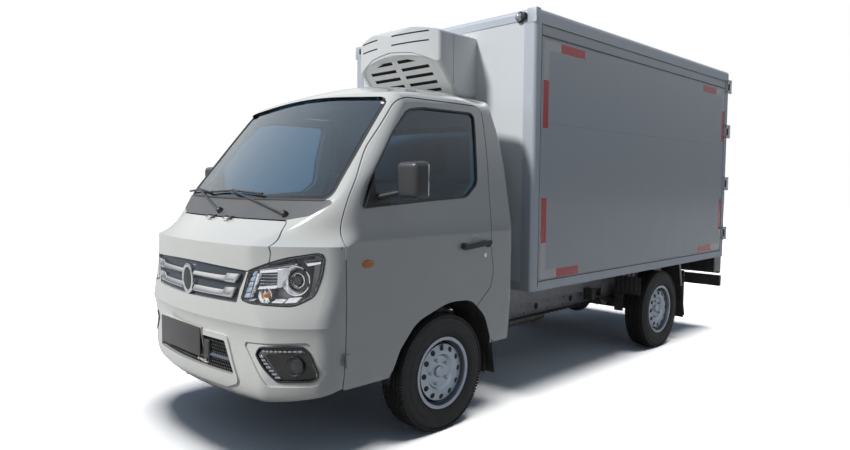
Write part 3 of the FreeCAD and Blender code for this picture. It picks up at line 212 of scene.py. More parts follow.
def finish(name, colour, roughness, texture=(300, 0.08), dust=0.3, height=0.9, metal=0.0, dull=0.75,
           stretch=(1, 1, 1), patch=6.0, tone=None, **constants):
    """A finish with its colour under a road film and a fine grain; other values go on the shader."""
    made = bpy.data.materials.new(name)
    add = node_tree(made)
    clean = (*colour, 1)
    if tone:
        cloud = add("ShaderNodeTexNoise", Vector=add("ShaderNodeTexCoord").outputs["Object"], Scale=tone[0],
                    Detail=5.0)
        band = add("ShaderNodeMapRange", Value=cloud, From_Min=0.35, From_Max=0.68)
        clean = blend(add, band, clean, (*tone[1], 1))
    over = add("ShaderNodeGroup", node_tree=film, Height=height, Amount=dust, Patch_Size=patch, Gloss=roughness,
               Dull=dull, Clean=clean).outputs
    close_shader(add, Base_Color=over["Color"], Roughness=over["Roughness"],
                 Normal=grained(add, *texture, stretch), Metallic=metal, **constants)
    return made


def dress(material, *names):
    """Gives CAD nodes their finish."""
    for name in names:
        coat(nodes[name], material)


def coat(made, material):
    """One material all over a piece."""
    made.data.materials.clear()
    made.data.materials.append(material)
    return made


cab_paint = finish("off-white cab paint", (0.72, 0.72, 0.68), 0.22, (900, 0.02), 0.14, 0.75,
                   Coat_Weight=0.6, Coat_Roughness=0.04)
dress(cab_paint, "cab_shell", "hood", "door_left", "door_right", "front_bumper")


# Cab glass: a bonded windscreen and rear pane and one drop glass in each door, with a
# dark printed band round the bonded panes and a black rubber seal on every edge.
def see_through(name, colour, roughness, bend, texture, amount=1.0):
    """A clear or tinted glass or plastic with a faint unevenness."""
    made = bpy.data.materials.new(name)
    add = node_tree(made)
    close_shader(add, Base_Color=(*colour, 1), Roughness=roughness, IOR=bend, Transmission_Weight=amount,
                 Normal=grained(add, *texture))
    return made


dress(see_through("tinted windscreen glass", (0.33, 0.48, 0.61), 0.01, 1.48, (4, 0.015)), "cab_glass")
# The door glass is tinted much darker than the windscreen: painted shade for the cab's shaded side and its dim
# reflections.
dress(see_through("dark door glass", (0.10, 0.20, 0.29), 0.01, 1.48, (4, 0.015)),
      "door_glass_left", "door_glass_right")
print_black = finish("printed glass band", (0.012, 0.013, 0.015), 0.18, dust=0.1)
seal_rubber = finish("seal rubber", (0.014, 0.014, 0.015), 0.55, (1500, 0.2), 0.35, 1.6)


def geometry_way(name, inputs):
    """An empty geometry tree with named inputs, the way to add its nodes, and what it is given."""
    return group(name, [("Geometry", "Geometry", None), *inputs, ("Material", "Material", None)],
                 [("Geometry", "Geometry")], "GeometryNodeTree")


def close_way(add, geometry, given):
    """The end of every geometry tree: plain geometry with its material on it."""
    real = add("GeometryNodeRealizeInstances", Geometry=geometry)
    add("NodeGroupOutput", Geometry=add("GeometryNodeSetMaterial", Geometry=real, Material=given["Material"]))


def place_piece(name, mesh, body, slot, way=None, smooth=35, **values):
    """A mesh, or what a geometry tree makes of it, as a finished piece that rides on a body."""
    made = bpy.data.objects.new(name, mesh)
    scene.collection.objects.link(made)
    if way:
        modifier = made.modifiers.new(way.name, "NODES")
        modifier.node_group = way
        for item in way.interface.items_tree:
            key = item.name.replace(" ", "_").lower()
            if item.in_out == "INPUT" and key in values:
                modifier[item.identifier] = values[key]
        bpy.context.view_layer.update()
        made.data = bpy.data.meshes.new_from_object(
            made.evaluated_get(bpy.context.evaluated_depsgraph_get()))
        made.modifiers.clear()
        made.data.name = name
    if smooth:
        made.data.shade_smooth()
        made.data.set_sharp_from_angle(angle=math.radians(smooth))
    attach(made, body)
    return made


def mesh_of(parts):
    """One mesh from one part or a list of parts, which are freed."""
    whole = bmesh.new()
    for part in parts if isinstance(parts, list) else [parts]:
        loose = bpy.data.meshes.new("part")
        part.to_mesh(loose)
        whole.from_mesh(loose)
        bpy.data.meshes.remove(loose)
        part.free()
    mesh = bpy.data.meshes.new("piece")
    whole.to_mesh(mesh)
    whole.free()
    return mesh


def piece(name, parts, slot, material, body="root", smooth=35):
    """A finished piece of one material that rides on a body."""
    return coat(place_piece(name, mesh_of(parts), body, slot, smooth=smooth), material)


strip_way, add, given = geometry_way("strip along an edge", [
    ("Width", "Float", 0.01), ("Rise", "Float", 0.01), ("Spacing", "Float", 0.02)])
line = add("GeometryNodeMeshToCurve", Mesh=given["Geometry"])
even = add("GeometryNodeResampleCurve", mode="LENGTH", Curve=line, Length=given["Spacing"])
bead = add("GeometryNodeCurvePrimitiveCircle", Resolution=10, Radius=1.0)
scale = add("ShaderNodeCombineXYZ", X=calc(add, "MULTIPLY", given["Width"], 0.5),
            Y=calc(add, "MULTIPLY", given["Rise"], 0.5), Z=1.0)
bead = add("GeometryNodeTransform", Geometry=bead, Scale=scale)
close_way(add, add("GeometryNodeCurveToMesh", Curve=even, Profile_Curve=bead, Fill_Caps=True), given)


def sheet_of(*names):
    """CAD nodes' meshes as one sheet."""
    sheet = bmesh.new()
    for name in names:
        sheet.from_mesh(nodes[name].data)
    return sheet


def merged_sheet(name):
    """A CAD node's mesh with its loose triangles joined."""
    sheet = sheet_of(name)
    bmesh.ops.remove_doubles(sheet, verts=sheet.verts, dist=0.00005)
    return sheet


def outer_skin(node, facing, least, keep=lambda x: True):
    """The faces of a CAD node that look one way, joined into one sheet."""
    sheet = merged_sheet(node)
    direction = Vector(facing).normalized()
    away = [f for f in sheet.faces
            if f.normal.dot(direction) < least or not keep(millimetres(f.calc_center_median()).x)]
    bmesh.ops.delete(sheet, geom=away, context="FACES")
    return sheet


def seal(name, sheet, width, rise, body="root", lift=(0, 0, 0), material=seal_rubber):
    """A bead of rubber that follows a sheet's open border."""
    line = sheet.copy()
    inside = [e for e in line.edges if not e.is_boundary]
    bmesh.ops.delete(line, geom=list(line.faces), context="FACES_ONLY")
    bmesh.ops.delete(line, geom=inside, context="EDGES")
    bmesh.ops.delete(line, geom=[v for v in line.verts if not v.link_edges], context="VERTS")
    bmesh.ops.translate(line, verts=line.verts, vec=lift)
    return place_piece(name, mesh_of(line), body, "black_plastic", strip_way, width=width, rise=rise,
                       material=material)


def border_band(sheet, width, lift):
    """The outer few centimetres of a sheet, lifted a hair off it."""
    band = sheet.copy()
    rim = set(bmesh.ops.inset_region(band, faces=list(band.faces), thickness=width, use_boundary=True,
                                     use_even_offset=True)["faces"])
    bmesh.ops.delete(band, geom=[f for f in band.faces if f not in rim], context="FACES")
    return swollen(band, lift)


def swollen(sheet, lift):
    """A sheet moved along its normals."""
    sheet.normal_update()
    for v in sheet.verts:
        v.co += v.normal * lift
    return sheet


def thick(sheet, depth):
    """A sheet given a wall towards its inside."""
    bmesh.ops.solidify(sheet, geom=list(sheet.faces), thickness=depth)
    return sheet


for name, sheet, width in (
        ("windscreen", outer_skin("cab_glass", (0.65, 0, 0.75), 0.3, lambda x: x > 100), 0.024),
        ("rear_window", outer_skin("cab_glass", (-1, 0, 0.1), 0.5, lambda x: x < -300), 0.03)):
    piece(f"{name}_band", border_band(sheet, width, 0.0004), "glazing", print_black)
    seal(f"{name}_seal", sheet, 0.014, 0.010)
for side, way in SIDES:
    pane = outer_skin(f"door_glass_{side}", (0, way, 0.15), 0.5)
    seal(f"window_seal_{side}", pane, 0.018, 0.014, f"door_{side}", (0, way * 0.003, 0))


# Headlamps: a clear moulded lens over a black housing with a chromed round main bowl, a
# boxed inner chamber and an amber indicator, let into the nose beside the grille.
chrome = finish("bright chrome", (0.80, 0.81, 0.82), 0.06, (60, 0.02), 0.12, metal=1.0)
gloss_black = finish("gloss black plastic", (0.010, 0.010, 0.011), 0.22, (700, 0.03), 0.2)
lamp_grey = finish("lamp well plastic", (0.17, 0.175, 0.18), 0.3, (90, 0.25), 0.05, metal=0.6)
guide_blue = finish("light guide", (0.42, 0.53, 0.66), 0.25, (300, 0.2), 0.05, metal=0.2)
clear_lens = see_through("clear lamp lens", (0.97, 0.98, 1.0), 0.0, 1.36, (30, 0.02))
amber = see_through("amber lens", (0.90, 0.28, 0.02), 0.12, 1.45, (160, 0.5), 0.35)
FORWARD = Vector((1, 0, 0))


def skin_of(*names):
    """CAD nodes' faces, for rays to meet."""
    sheet = sheet_of(*names)
    tree = BVHTree.FromBMesh(sheet)
    sheet.free()
    return tree


cab_skin = skin_of("front_bumper", "hood", "headlamps", "cab_shell", "door_left", "door_right",
                   "door_glass_left", "door_glass_right", "cowl", "fog_lamps")


def nose_at(y, z, tree=cab_skin):
    """The place and facing of the cab's skin straight ahead of a point given in millimetres."""
    return tree.ray_cast(at(2000, y, z), -FORWARD)[:2]


def turned(part, place, facing, spin=0.0):
    """Puts a part that was made round the Z axis on a place, with Z along its facing."""
    turn = Vector(facing).to_track_quat("Z", "Y").to_matrix().to_4x4()
    bmesh.ops.transform(part, verts=part.verts,
                        matrix=Matrix.Translation(place) @ turn @ Matrix.Rotation(spin, 4, "Z"))
    return part


def lathe(profile, steps=48):
    """A solid turned round Z from a closed profile of (radius, height) in millimetres."""
    part = bmesh.new()
    rings = []
    for radius, height in profile:
        angles = [2 * math.pi * k / steps for k in range(steps)] if radius > 0.01 else [0]
        rings.append([part.verts.new((radius / 1000 * math.cos(a), radius / 1000 * math.sin(a), height / 1000))
                      for a in angles])
    for low, high in zip(rings, rings[1:] + rings[:1]):
        if len(low) == len(high) == 1:
            continue
        for k in range(steps):
            corners = [low[k % len(low)], low[(k + 1) % len(low)], high[(k + 1) % len(high)], high[k % len(high)]]
            part.faces.new(list(dict.fromkeys(corners)))
    bmesh.ops.recalc_face_normals(part, faces=part.faces)
    return part


def spun(profile, place, facing, steps=48):
    """A turned part on its place."""
    return turned(lathe(profile, steps), place, facing)


def lofted(rings):
    """A solid through rings of places, with flat ends."""
    part = bmesh.new()
    rows = [[part.verts.new(p) for p in ring] for ring in rings]
    for low, high in zip(rows, rows[1:]):
        for k in range(len(low)):
            after = (k + 1) % len(low)
            part.faces.new((low[k], low[after], high[after], high[k]))
    part.faces.new(rows[0])
    part.faces.new(list(reversed(rows[-1])))
    bmesh.ops.recalc_face_normals(part, faces=part.faces)
    return part


def soften(part, radius, segments=2, **more):
    """Rounds every edge of a part by a radius in millimetres."""
    bmesh.ops.bevel(part, geom=list(part.edges), offset=radius / 1000, segments=segments, affect="EDGES", **more)
    return part


ROUND = {"profile": 0.5, "clamp_overlap": True}


def shaped_cube(corner):
    """A cube whose corners are placed by a function of their signs."""
    part = bmesh.new()
    bmesh.ops.create_cube(part, size=1)
    for v in part.verts:
        v.co = corner(*(1 if c > 0 else -1 for c in v.co))
    bmesh.ops.recalc_face_normals(part, faces=part.faces)
    return part


def block(low, high, radius=3, segments=3):
    """A block between two corners in millimetres from the front axle, with rounded edges."""
    part = shaped_cube(lambda *signs: at(*[h if sign > 0 else l for sign, l, h in zip(signs, low, high)]))
    return soften(part, radius, segments, **ROUND) if radius else part


def side_block(way, low, high, radius=3, segments=3):
    """A block that is given for the left side, on the left or the right."""
    y0, y1 = sorted((way * low[1], way * high[1]))
    return block((low[0], y0, low[2]), (high[0], y1, high[2]), radius, segments)


def plate(corners, push, radius=2):
    """A flat plate from its corners, pushed along a vector and given soft edges."""
    part = bmesh.new()
    face = part.faces.new([part.verts.new(p) for p in corners])
    pushed = bmesh.ops.extrude_face_region(part, geom=[face])["geom"]
    bmesh.ops.translate(part, vec=push, verts=[g for g in pushed if isinstance(g, bmesh.types.BMVert)])
    bmesh.ops.recalc_face_normals(part, faces=part.faces)
    return soften(part, radius, **ROUND) if radius else part


def mirror_part(part):
    """The same part on the truck's other side."""
    other = part.copy()
    bmesh.ops.scale(other, vec=(1, -1, 1), verts=other.verts)
    bmesh.ops.reverse_faces(other, faces=other.faces)
    return other


def sided(way, *parts):
    """Parts made for the left side, or the same on the right."""
    return list(parts) if way > 0 else [mirror_part(part) for part in parts]


def lamp_sheet(node, way, depth):
    """The outer face of a lamp's CAD block on one side, as one sheet."""
    sheet = merged_sheet(node)
    gone = []
    for face in sheet.faces:
        centre = face.calc_center_median()
        hit = cab_skin.ray_cast(centre + face.normal * 0.3, -face.normal, 0.3004)[0]
        if centre.y * way < 0 or face.normal.x < 0.12 or (hit is not None and (hit - centre).length > depth):
            gone.append(face)
    bmesh.ops.delete(sheet, geom=gone, context="FACES")
    return sheet


def lamp_well(sheet, inward):
    """The open case behind a lamp's face: walls along the border and a back."""
    well = sheet.copy()
    rim = bmesh.ops.inset_region(well, faces=list(well.faces), thickness=0.004, use_boundary=True)["faces"]
    bmesh.ops.delete(well, geom=rim, context="FACES")
    bmesh.ops.translate(well, verts=well.verts, vec=inward)
    walls = bmesh.ops.extrude_edge_only(well, edges=[e for e in well.edges if e.is_boundary])["geom"]
    bmesh.ops.translate(well, verts=[g for g in walls if isinstance(g, bmesh.types.BMVert)], vec=-inward * 0.97)
    bmesh.ops.recalc_face_normals(well, faces=well.faces)
    if max(well.faces, key=lambda f: f.calc_area()).normal.x < 0:
        bmesh.ops.reverse_faces(well, faces=well.faces)
    return thick(well, 0.002)


def lamp_plate(points, sunk, depth, radius=1.5, lean=0):
    """A plate from an outline given as (y, z) on the nose, sunk behind it and leaning back."""
    middle = sum(z for _, z in points) / len(points)
    return plate([nose_at(y, z)[0] - FORWARD * (sunk + lean * (z - middle)) / 1000 for y, z in points],
                 -FORWARD * depth / 1000, radius)


CHAMBER_PLATES = (
    ([(538, 929), (613, 937), (612, 921), (541, 914)], 12, 30, 2, 0.3),
    ([(541, 856), (613, 863), (612, 848), (540, 841)], 14, 30, 2, 0.6),
    ([(613, 938), (638, 944), (632, 852), (614, 848)], 9, 40, 6, -0.1),
    ([(532, 912), (541, 914), (513, 806), (504, 800)], 8, 30, 2, 0),
    ([(541, 940), (660, 963), (662, 951), (545, 930)], 16, 20, 2, 1.2),
    ([(690, 972), (749, 992), (753, 962), (716, 950)], 26, 8, 2, 0.9),
    ([(492, 796), (530, 797), (529, 788), (500, 786)], 8, 20, 2, 1.0),
    ([(612, 806), (655, 800), (650, 784), (606, 784)], 18, 20, 2, 0.9),
    ([(658, 806), (700, 812), (697, 788), (656, 784)], 20, 20, 2, 0.9),
    *(([(545, z + 3), (611, z + 6), (611, z + 2), (545, z - 1)], 16, 40, 0.8, 2.0) for z in (866, 880, 894, 908)))
bowl_facing = Vector((0.86, 0.50, 0.05))
cup_facing = Vector((0.93, 0.36, 0.05)).normalized()
bowl_centre = nose_at(681, 883)[0] - Vector((0.018, 0.008, 0))
cup_centre = nose_at(572, 812)[0] - Vector((0.020, 0.004, 0))
for side, way in SIDES:
    sheet = lamp_sheet("headlamps", way, 0.002)
    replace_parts(piece(f"headlamp_well_{side}", lamp_well(sheet, Vector((-0.080, -way * 0.012, 0))),
                      "black_plastic", lamp_grey), "headlamps")
    seal(f"headlamp_edge_{side}", sheet, 0.012, 0.008, lift=(-0.005, 0, 0), material=gloss_black)
    piece(f"headlamp_bezel_{side}", border_band(sheet, 0.011, -0.0034), "black_plastic", gloss_black)
    piece(f"headlamp_lens_{side}", thick(sheet, 0.003), "lamp_lens", clear_lens)
    bright = [
        spun([(66, 2), (60, -4), (50, -24), (38, -36), (20, -42), (20, -44), (40, -40), (56, -24), (66, -6)],
             bowl_centre, bowl_facing, 20),
        spun([(70, 0), (68, 5), (64, 4), (63, -4), (68, -8)], bowl_centre, bowl_facing),
        spun([(35, -14), (32, -10), (29, -14), (31, -22)], bowl_centre, bowl_facing),
        spun([(38, 0), (36, 3), (33, 0), (22, -14), (9, -20), (0, -20), (0, -23), (24, -18)], cup_centre,
             cup_facing, 18), *(lamp_plate(*values) for values in CHAMBER_PLATES)]
    guide = [lamp_plate([(464 + k * 11.5, 797 + k * 26), (500 + k * 7, 800 + k * 26), (506 + k * 7, 823 + k * 26),
                         (474 + k * 11.5, 820 + k * 26)], 7, 8, 2.5, 0.1) for k in range(5)]
    bulb = spun([(0, 14), (7, 12), (10, 5), (10, -14), (0, -14)], cup_centre - cup_facing * 0.008, cup_facing, 20)
    dark = [spun([(0, 8), (12, 6), (16, -2), (16, -14), (0, -14)], nose_at(598, 800)[0] - FORWARD * 0.022,
                 cup_facing, 24),
            spun([(0, -2), (18, -6), (27, -20), (27, -40), (0, -40)], bowl_centre, bowl_facing, 32)]
    piece(f"headlamp_bowls_{side}", sided(way, *bright), "zinc_steel", chrome, smooth=20)
    piece(f"light_guide_{side}", sided(way, *guide), "lamp_lens", guide_blue)
    piece(f"indicator_bulb_{side}", sided(way, bulb), "lamp_red", amber)
    piece(f"lamp_shields_{side}", sided(way, *dark), "black_plastic", gloss_black)


# Grille: a dark moulded panel between the lamps with two bright bars each side that step
# wider at their outer ends, and a plain oval badge place with a bright ring, left blank.
dress(finish("grille plastic", (0.040, 0.052, 0.068), 0.42, (1200, 0.15), 0.2), "grille")
satin_chrome = finish("satin chrome", (0.66, 0.66, 0.66), 0.20, (60, 0.02), 0.2, metal=1.0)
NOSE_BOW = 5000
GRILLE_BARS = (
    ((60, 863, 887), (335, 861, 889), (352, 860, 902), (407, 860, 904), (437, 899, 905)),
    ((60, 785, 818), (320, 788, 820), (337, 788, 835), (379, 788, 838), (407, 832, 839)),
)


def bar_section(y, low, top):
    """The section of a bright bar at one distance from the middle, with a ridge low on its face."""
    x, height = 1034.5 - y * y / NOSE_BOW, top - low
    return [at(x + a, y, low + b) for a, b in (
        (-12, 0), (1, 0), (5, 2), (9.5, 0.26 * height), (9, 0.36 * height), (1.5, height - 1.5), (0, height),
        (-12, height))]


bars = []
for corners in GRILLE_BARS:
    stations = []
    for start, end in zip(corners, corners[1:]):
        steps = max(1, round((end[0] - start[0]) / 40))
        stations += [[a + (b - a) * k / steps for a, b in zip(start, end)] for k in range(steps)]
    bars.append(lofted([bar_section(*station) for station in (*stations, corners[-1])]))
piece("grille_bars", [*bars, *(mirror_part(bar) for bar in bars)], "zinc_steel", satin_chrome, smooth=25)
for name, profile, slot, material in (
        ("badge_ring", [(1.06, -42), (1.06, 1), (0.98, 3.4), (0.84, 2.5), (0.80, 0.4), (0.98, -0.5), (0.98, -42)],
         "zinc_steel", chrome),
        ("badge_blank", [(0, 1.8), (0.5, 1.4), (0.86, 0.3), (0.86, -1), (0, -1)], "dark_trim", gloss_black)):
    oval = lathe(profile)
    bmesh.ops.scale(oval, vec=(56, 72, 1), verts=oval.verts)
    piece(name, turned(oval, at(1042, 0, 842), FORWARD), slot, material)


# Bumper intake: a trapezoid opening with a black honeycomb mesh in it, a blank dark plate
# on a pale bracket before it, and the lower lip left in unpainted black.
mesh_black = finish("intake mesh plastic", (0.030, 0.031, 0.033), 0.45, (900, 0.1), 0.5)
comb_way, add, given = geometry_way("honeycomb", [
    ("Pitch", "Float", 0.019), ("Columns", "Int", 50), ("Rows", "Int", 10), ("Wall", "Float", 0.0022),
    ("Depth", "Float", 0.008), ("Middle", "Vector", None), ("Nose Radius", "Float", 2.5),
    ("Half Foot", "Float", 0.398), ("Half Top", "Float", 0.325), ("Height", "Float", 0.143)])
row_step = calc(add, "MULTIPLY", given["Pitch"], math.sqrt(3) / 2)
half_pitch = calc(add, "MULTIPLY", given["Pitch"], 0.5)
columns = add("GeometryNodeMeshLine", mode="OFFSET", Count=given["Columns"],
              Offset=add("ShaderNodeCombineXYZ", Y=given["Pitch"]))
rows = add("GeometryNodeMeshLine", mode="OFFSET", Count=given["Rows"],
           Offset=add("ShaderNodeCombineXYZ", Z=row_step))
odd = calc(add, "MODULO", add("GeometryNodeInputIndex"), 2.0)
stagger = add("GeometryNodeSetPosition", Geometry=rows,
              Offset=add("ShaderNodeCombineXYZ", Y=calc(add, "MULTIPLY", odd, half_pitch)))
cells = add("GeometryNodeInstanceOnPoints", Points=stagger, Instance=columns)
points = add("GeometryNodeMeshToPoints", Mesh=add("GeometryNodeRealizeInstances", Geometry=cells))
back = calc(add, "MULTIPLY", calc(add, "MULTIPLY", given["Columns"], half_pitch), -1.0)
centred = add("GeometryNodeSetPosition", Geometry=points, Offset=add("ShaderNodeCombineXYZ", Y=back))
here = add("ShaderNodeSeparateXYZ", Vector=add("GeometryNodeInputPosition")).outputs
limit = add("ShaderNodeMapRange", Value=calc(add, "DIVIDE", here["Z"], given["Height"]), clamp=False,
            To_Min=given["Half Foot"], To_Max=given["Half Top"])
beyond = calc(add, "GREATER_THAN", calc(add, "ABSOLUTE", here["Y"]), limit)
too_high = calc(add, "GREATER_THAN", here["Z"], given["Height"])
kept = add("GeometryNodeDeleteGeometry", domain="POINT", Geometry=centred,
           Selection=calc(add, "MAXIMUM", beyond, too_high))
fall = calc(add, "DIVIDE", calc(add, "MULTIPLY", here["Y"], here["Y"]),
            calc(add, "MULTIPLY", given["Nose Radius"], -2.0))
bowed = add("GeometryNodeSetPosition", Geometry=kept, Offset=add("ShaderNodeCombineXYZ", X=fall))
moved = add("GeometryNodeSetPosition", Geometry=bowed, Offset=given["Middle"])
cell_radius = calc(add, "MULTIPLY", given["Pitch"], 0.578)
hexagon = add("GeometryNodeTransform", Geometry=add("GeometryNodeCurvePrimitiveCircle", Resolution=6, Radius=1.0),
              Scale=add("ShaderNodeCombineXYZ", X=cell_radius, Y=cell_radius, Z=1.0),
              Rotation=(0, 0, math.pi / 6))
wall = add("GeometryNodeCurvePrimitiveQuadrilateral", mode="RECTANGLE", Width=given["Wall"],
           Height=given["Depth"])
cell = add("GeometryNodeTransform", Geometry=add("GeometryNodeCurveToMesh", Curve=hexagon, Profile_Curve=wall),
           Rotation=(math.pi / 2, 0, math.pi / 2))
close_way(add, add("GeometryNodeInstanceOnPoints", Points=moved, Instance=cell), given)
intake_foot = nose_at(5, 430, skin_of("grille"))[0]
place_piece("intake_mesh", bpy.data.meshes.new("intake_mesh"), "root", "black_plastic", comb_way, smooth=0,
            columns=48, rows=11, middle=Vector((intake_foot.x + 0.006, 0, 0.430)), material=mesh_black)
shelf = lofted([[at(1033 - y * y / NOSE_BOW + a, y, 488 + b) for a, b in (
    (-22, -9), (-4, -9), (-1, -6), (-1, -1), (-4, 2), (-22, 11))] for y in (-382 + k * 38.2 for k in range(21))])
piece("intake_shelf", shelf, "black_plastic",
      finish("intake shelf plastic", (0.115, 0.135, 0.175), 0.4, (900, 0.1)), smooth=25)
plate_dark = finish("blank plate enamel", (0.050, 0.048, 0.050), 0.35, (500, 0.05), 0.2)
plate_grey = finish("plate frame paint", (0.62, 0.61, 0.58), 0.45, (500, 0.05))
piece("blank_plate", block((1040, -318, 467), (1045.5, 132, 610), 1.5), "black_plastic", plate_dark)
rod = soften(shaped_cube(lambda x, y, z: Vector((x * 0.006, y * 0.0025, z * 0.086))), 1.2)
turned(rod, at(1028, 142, 529), at(1039, 141, 611) - at(1016, 143, 447), math.pi / 2)
piece("plate_frame", [
    rod, block((1004, 112, 436), (1026, 168, 442), 1.5), block((1019, 66, 438), (1024, 150, 452), 1.5),
    *(spun([(0, 6), (5, 6), (7, 4), (7, 0), (0, 0)], at(1023, y, 444), FORWARD, 6) for y in (78, 128))],
    "zinc_steel", plate_grey)
piece("plate_backing", block((1012, 40, 462), (1032, 196, 556), 8), "black_plastic", plate_dark)


# Fog lamps: a black moulding let into each bumper corner, a strip of running lights along
# its top and inner edge, and a round lamp set in a tube.
dress(gloss_black, "fog_lamps")
led_clear = finish("running light cell", (0.42, 0.44, 0.47), 0.15, (300, 0.3), 0.1, metal=0.7)
led_tray = finish("running light tray", (0.13, 0.135, 0.14), 0.3, (300, 0.1), 0.1, metal=0.3)
fog_glass = finish("fog lamp glass", (0.03, 0.04, 0.05), 0.05, (300, 0.02), 0.1)
row_way, add, given = geometry_way("repeat along a line", [
    ("Start", "Vector", None), ("End", "Vector", None), ("Count", "Int", 5)])
line = add("GeometryNodeMeshLine", mode="END_POINTS", Count=given["Count"], Start_Location=given["Start"],
           Offset=given["End"])
close_way(add, add("GeometryNodeInstanceOnPoints", Points=line, Instance=given["Geometry"]), given)
fog_facing = Vector((0.90, 0.42, 0)).normalized()
fog_centre = at(877, 705, 499) - fog_facing * 0.004
for side, way in SIDES:
    sheet = swollen(lamp_sheet("fog_lamps", way, 0.03), 0.007)
    seal(f"fog_rim_{side}", sheet, 0.012, 0.011, material=gloss_black)
    tray = lamp_plate([(546, 540), (566, 566), (600, 571), (725, 578), (738, 562), (724, 558), (600, 549),
                       (588, 540), (650, 437), (634, 433)], -5, 8)
    lights = [lamp_plate([(y, z), (y + 13, z + 0.6), (y + 13, z - 9 + k * 0.2), (y, z - 9.6 + k * 0.2)], -10, 6, 2.5)
              for k, y, z in ((k, 574 + k * 17.6, 566 + k * 0.7) for k in range(9))]
    lights += [lamp_plate([(y, z), (y + 18, z + 2), (y + 25, z - 8), (y + 7, z - 11)], -10, 6, 2.5)
               for y, z in ((556 + k * 11.6, 540 - k * 15.2) for k in range(7))]
    tube = spun([(46, -24), (46, 0), (43, 4), (39, 0), (38, -24)], fog_centre, fog_facing)
    lens = spun([(0, -2), (20, -4), (36, -10), (38, -16), (0, -16)], fog_centre, fog_facing)
    piece(f"fog_tube_{side}", sided(way, tube), "black_plastic", gloss_black)
    piece(f"fog_lens_{side}", sided(way, lens), "lamp_lens", fog_glass)
    piece(f"running_light_tray_{side}", sided(way, tray), "black_plastic", led_tray)
    piece(f"running_lights_{side}", sided(way, *lights), "lamp_lens", led_clear)


# Scuttle and wipers: a grey moulded tray at the foot of the windscreen, two black arms on
# spindles and a rubber blade on each.
dress(finish("scuttle plastic", (0.10, 0.105, 0.11), 0.5, (1500, 0.25), 0.4, 1.4), "cowl")
wiper_black = finish("wiper steel", (0.018, 0.018, 0.019), 0.38, (900, 0.1), 0.3, 1.6)
dress(wiper_black, "wipers")
piece("wiper_caps", [spun([(0, 26), (9, 25), (15, 20), (17, 8), (19, 0), (0, 0)], *nose_at(y, 1176), 24)
                     for y in (496, -53)], "black_plastic", wiper_black)


# Small parts of the cab's shell: the door hinges' lugs in a grey of painted shade, the black edge,
# lip and inner wall of each wheel arch, and the cab's rear edge, which leans forward low down.
def blacken(node, material, chosen):
    """A second finish on the faces of a CAD node that a test picks out."""
    mesh = nodes[node].data
    mesh.materials.append(material)
    for face in mesh.polygons:
        if chosen(face):
            face.material_index = len(mesh.materials) - 1


def hinge_face(face):
    """Whether a face belongs to a front door hinge."""
    x, y, z = millimetres(face.center)
    return face.normal.x > 0.3 and 640 < x < 690 and abs(y) > 812 and (470 < z < 550 or 970 < z < 1050)


def arch_face(face):
    """Whether a face is the turned-in edge of the front wheel opening."""
    x, y, z = millimetres(face.center)
    return math.hypot(x, z - AXLE_Z) < 445 and 560 < abs(y) < 818 and abs(face.normal.y) < 0.3 and z > 330


def step_between(table, z):
    """A value read between the rows of a table of heights in millimetres."""
    for (z0, a), (z1, b) in zip(table, table[1:]):
        if z <= z1:
            return a + (b - a) * max(0, z - z0) / (z1 - z0)
    return table[-1][1]


AXLE_Z = 316
# Painted shade: the hinge lugs get a mid grey so that their sunlit faces come out as dark as the shaded cab side
# round them.
hinge_shade_grey = finish("hinge painted shade", (0.25, 0.255, 0.26), 0.5, dust=0.2)
for node in ("cab_shell", "door_left", "door_right"):
    blacken(node, hinge_shade_grey, hinge_face)
    blacken(node, seal_rubber, arch_face)
REAR_SHIFT = ((300, 60), (640, 56), (850, 50), (1038, 40), (1140, 27), (1247, 15), (1400, 10), (1600, 0), (2500, 0))
REAR_WALL = ((300, -650), (640, -646), (850, -640), (1038, -630), (1140, -615), (1247, -600), (1400, -580),
             (1600, -545), (1808, -495), (2500, -350))
SHIFT_FROM = -398
shell_mesh, floor_panel = nodes["cab_shell"].data.copy(), nodes["cab_floor"].data.copy()
for v in shell_mesh.vertices:
    x, _, z = millimetres(v.co)
    wall_x = step_between(REAR_WALL, z) + 50
    v.co.x += step_between(REAR_SHIFT, z) / 1000 * min(1, max(0, (SHIFT_FROM - x) / (SHIFT_FROM - wall_x)))
for v in floor_panel.vertices:
    if millimetres(v.co).x < -560:
        v.co.x += 0.040
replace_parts(place_piece("cab_shell_trimmed", shell_mesh, "root", "body_paint", smooth=0), "cab_shell")
cab_floor = place_piece("cab_floor_trimmed", floor_panel, "root", "dark_trim", smooth=0)
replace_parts(cab_floor, "cab_floor")
ARCH = [(384, 330), (322, 500), (215, 625), (-20, 700), (-200, 690), (-322, 590), (-390, 445), (-396, 330)]
ARCH_INSIDE = [(-380, 460), (-322, 590), (-200, 690), (-20, 700), (240, 640), (372, 560), (425, 345), (235, 345),
               (160, 460)]
for side, way in SIDES:
    lip = lofted([[at(x * s, way * y, 330 + (z - 330) * s) for y, s in (
        (735, 1.004), (796, 1.004), (796, 1.010), (735, 1.010))] for x, z in ARCH])
    piece(f"arch_lip_{side}", lip, "black_plastic", seal_rubber, smooth=0)
    inner = plate([at(x, way * 452, z) for x, z in ARCH_INSIDE], (0, way * 0.005, 0), 0)
    piece(f"arch_inner_wall_{side}", inner, "black_plastic", seal_rubber, smooth=0)
    corner = spun([(0, 4), (13, 3), (16, 0), (16, -2), (0, -2)], at(268, way * 592, 1769),
                  (0.62, 0.30 * way, 0.72), 20)
    piece(f"windscreen_corner_{side}", corner, "black_plastic", seal_rubber)


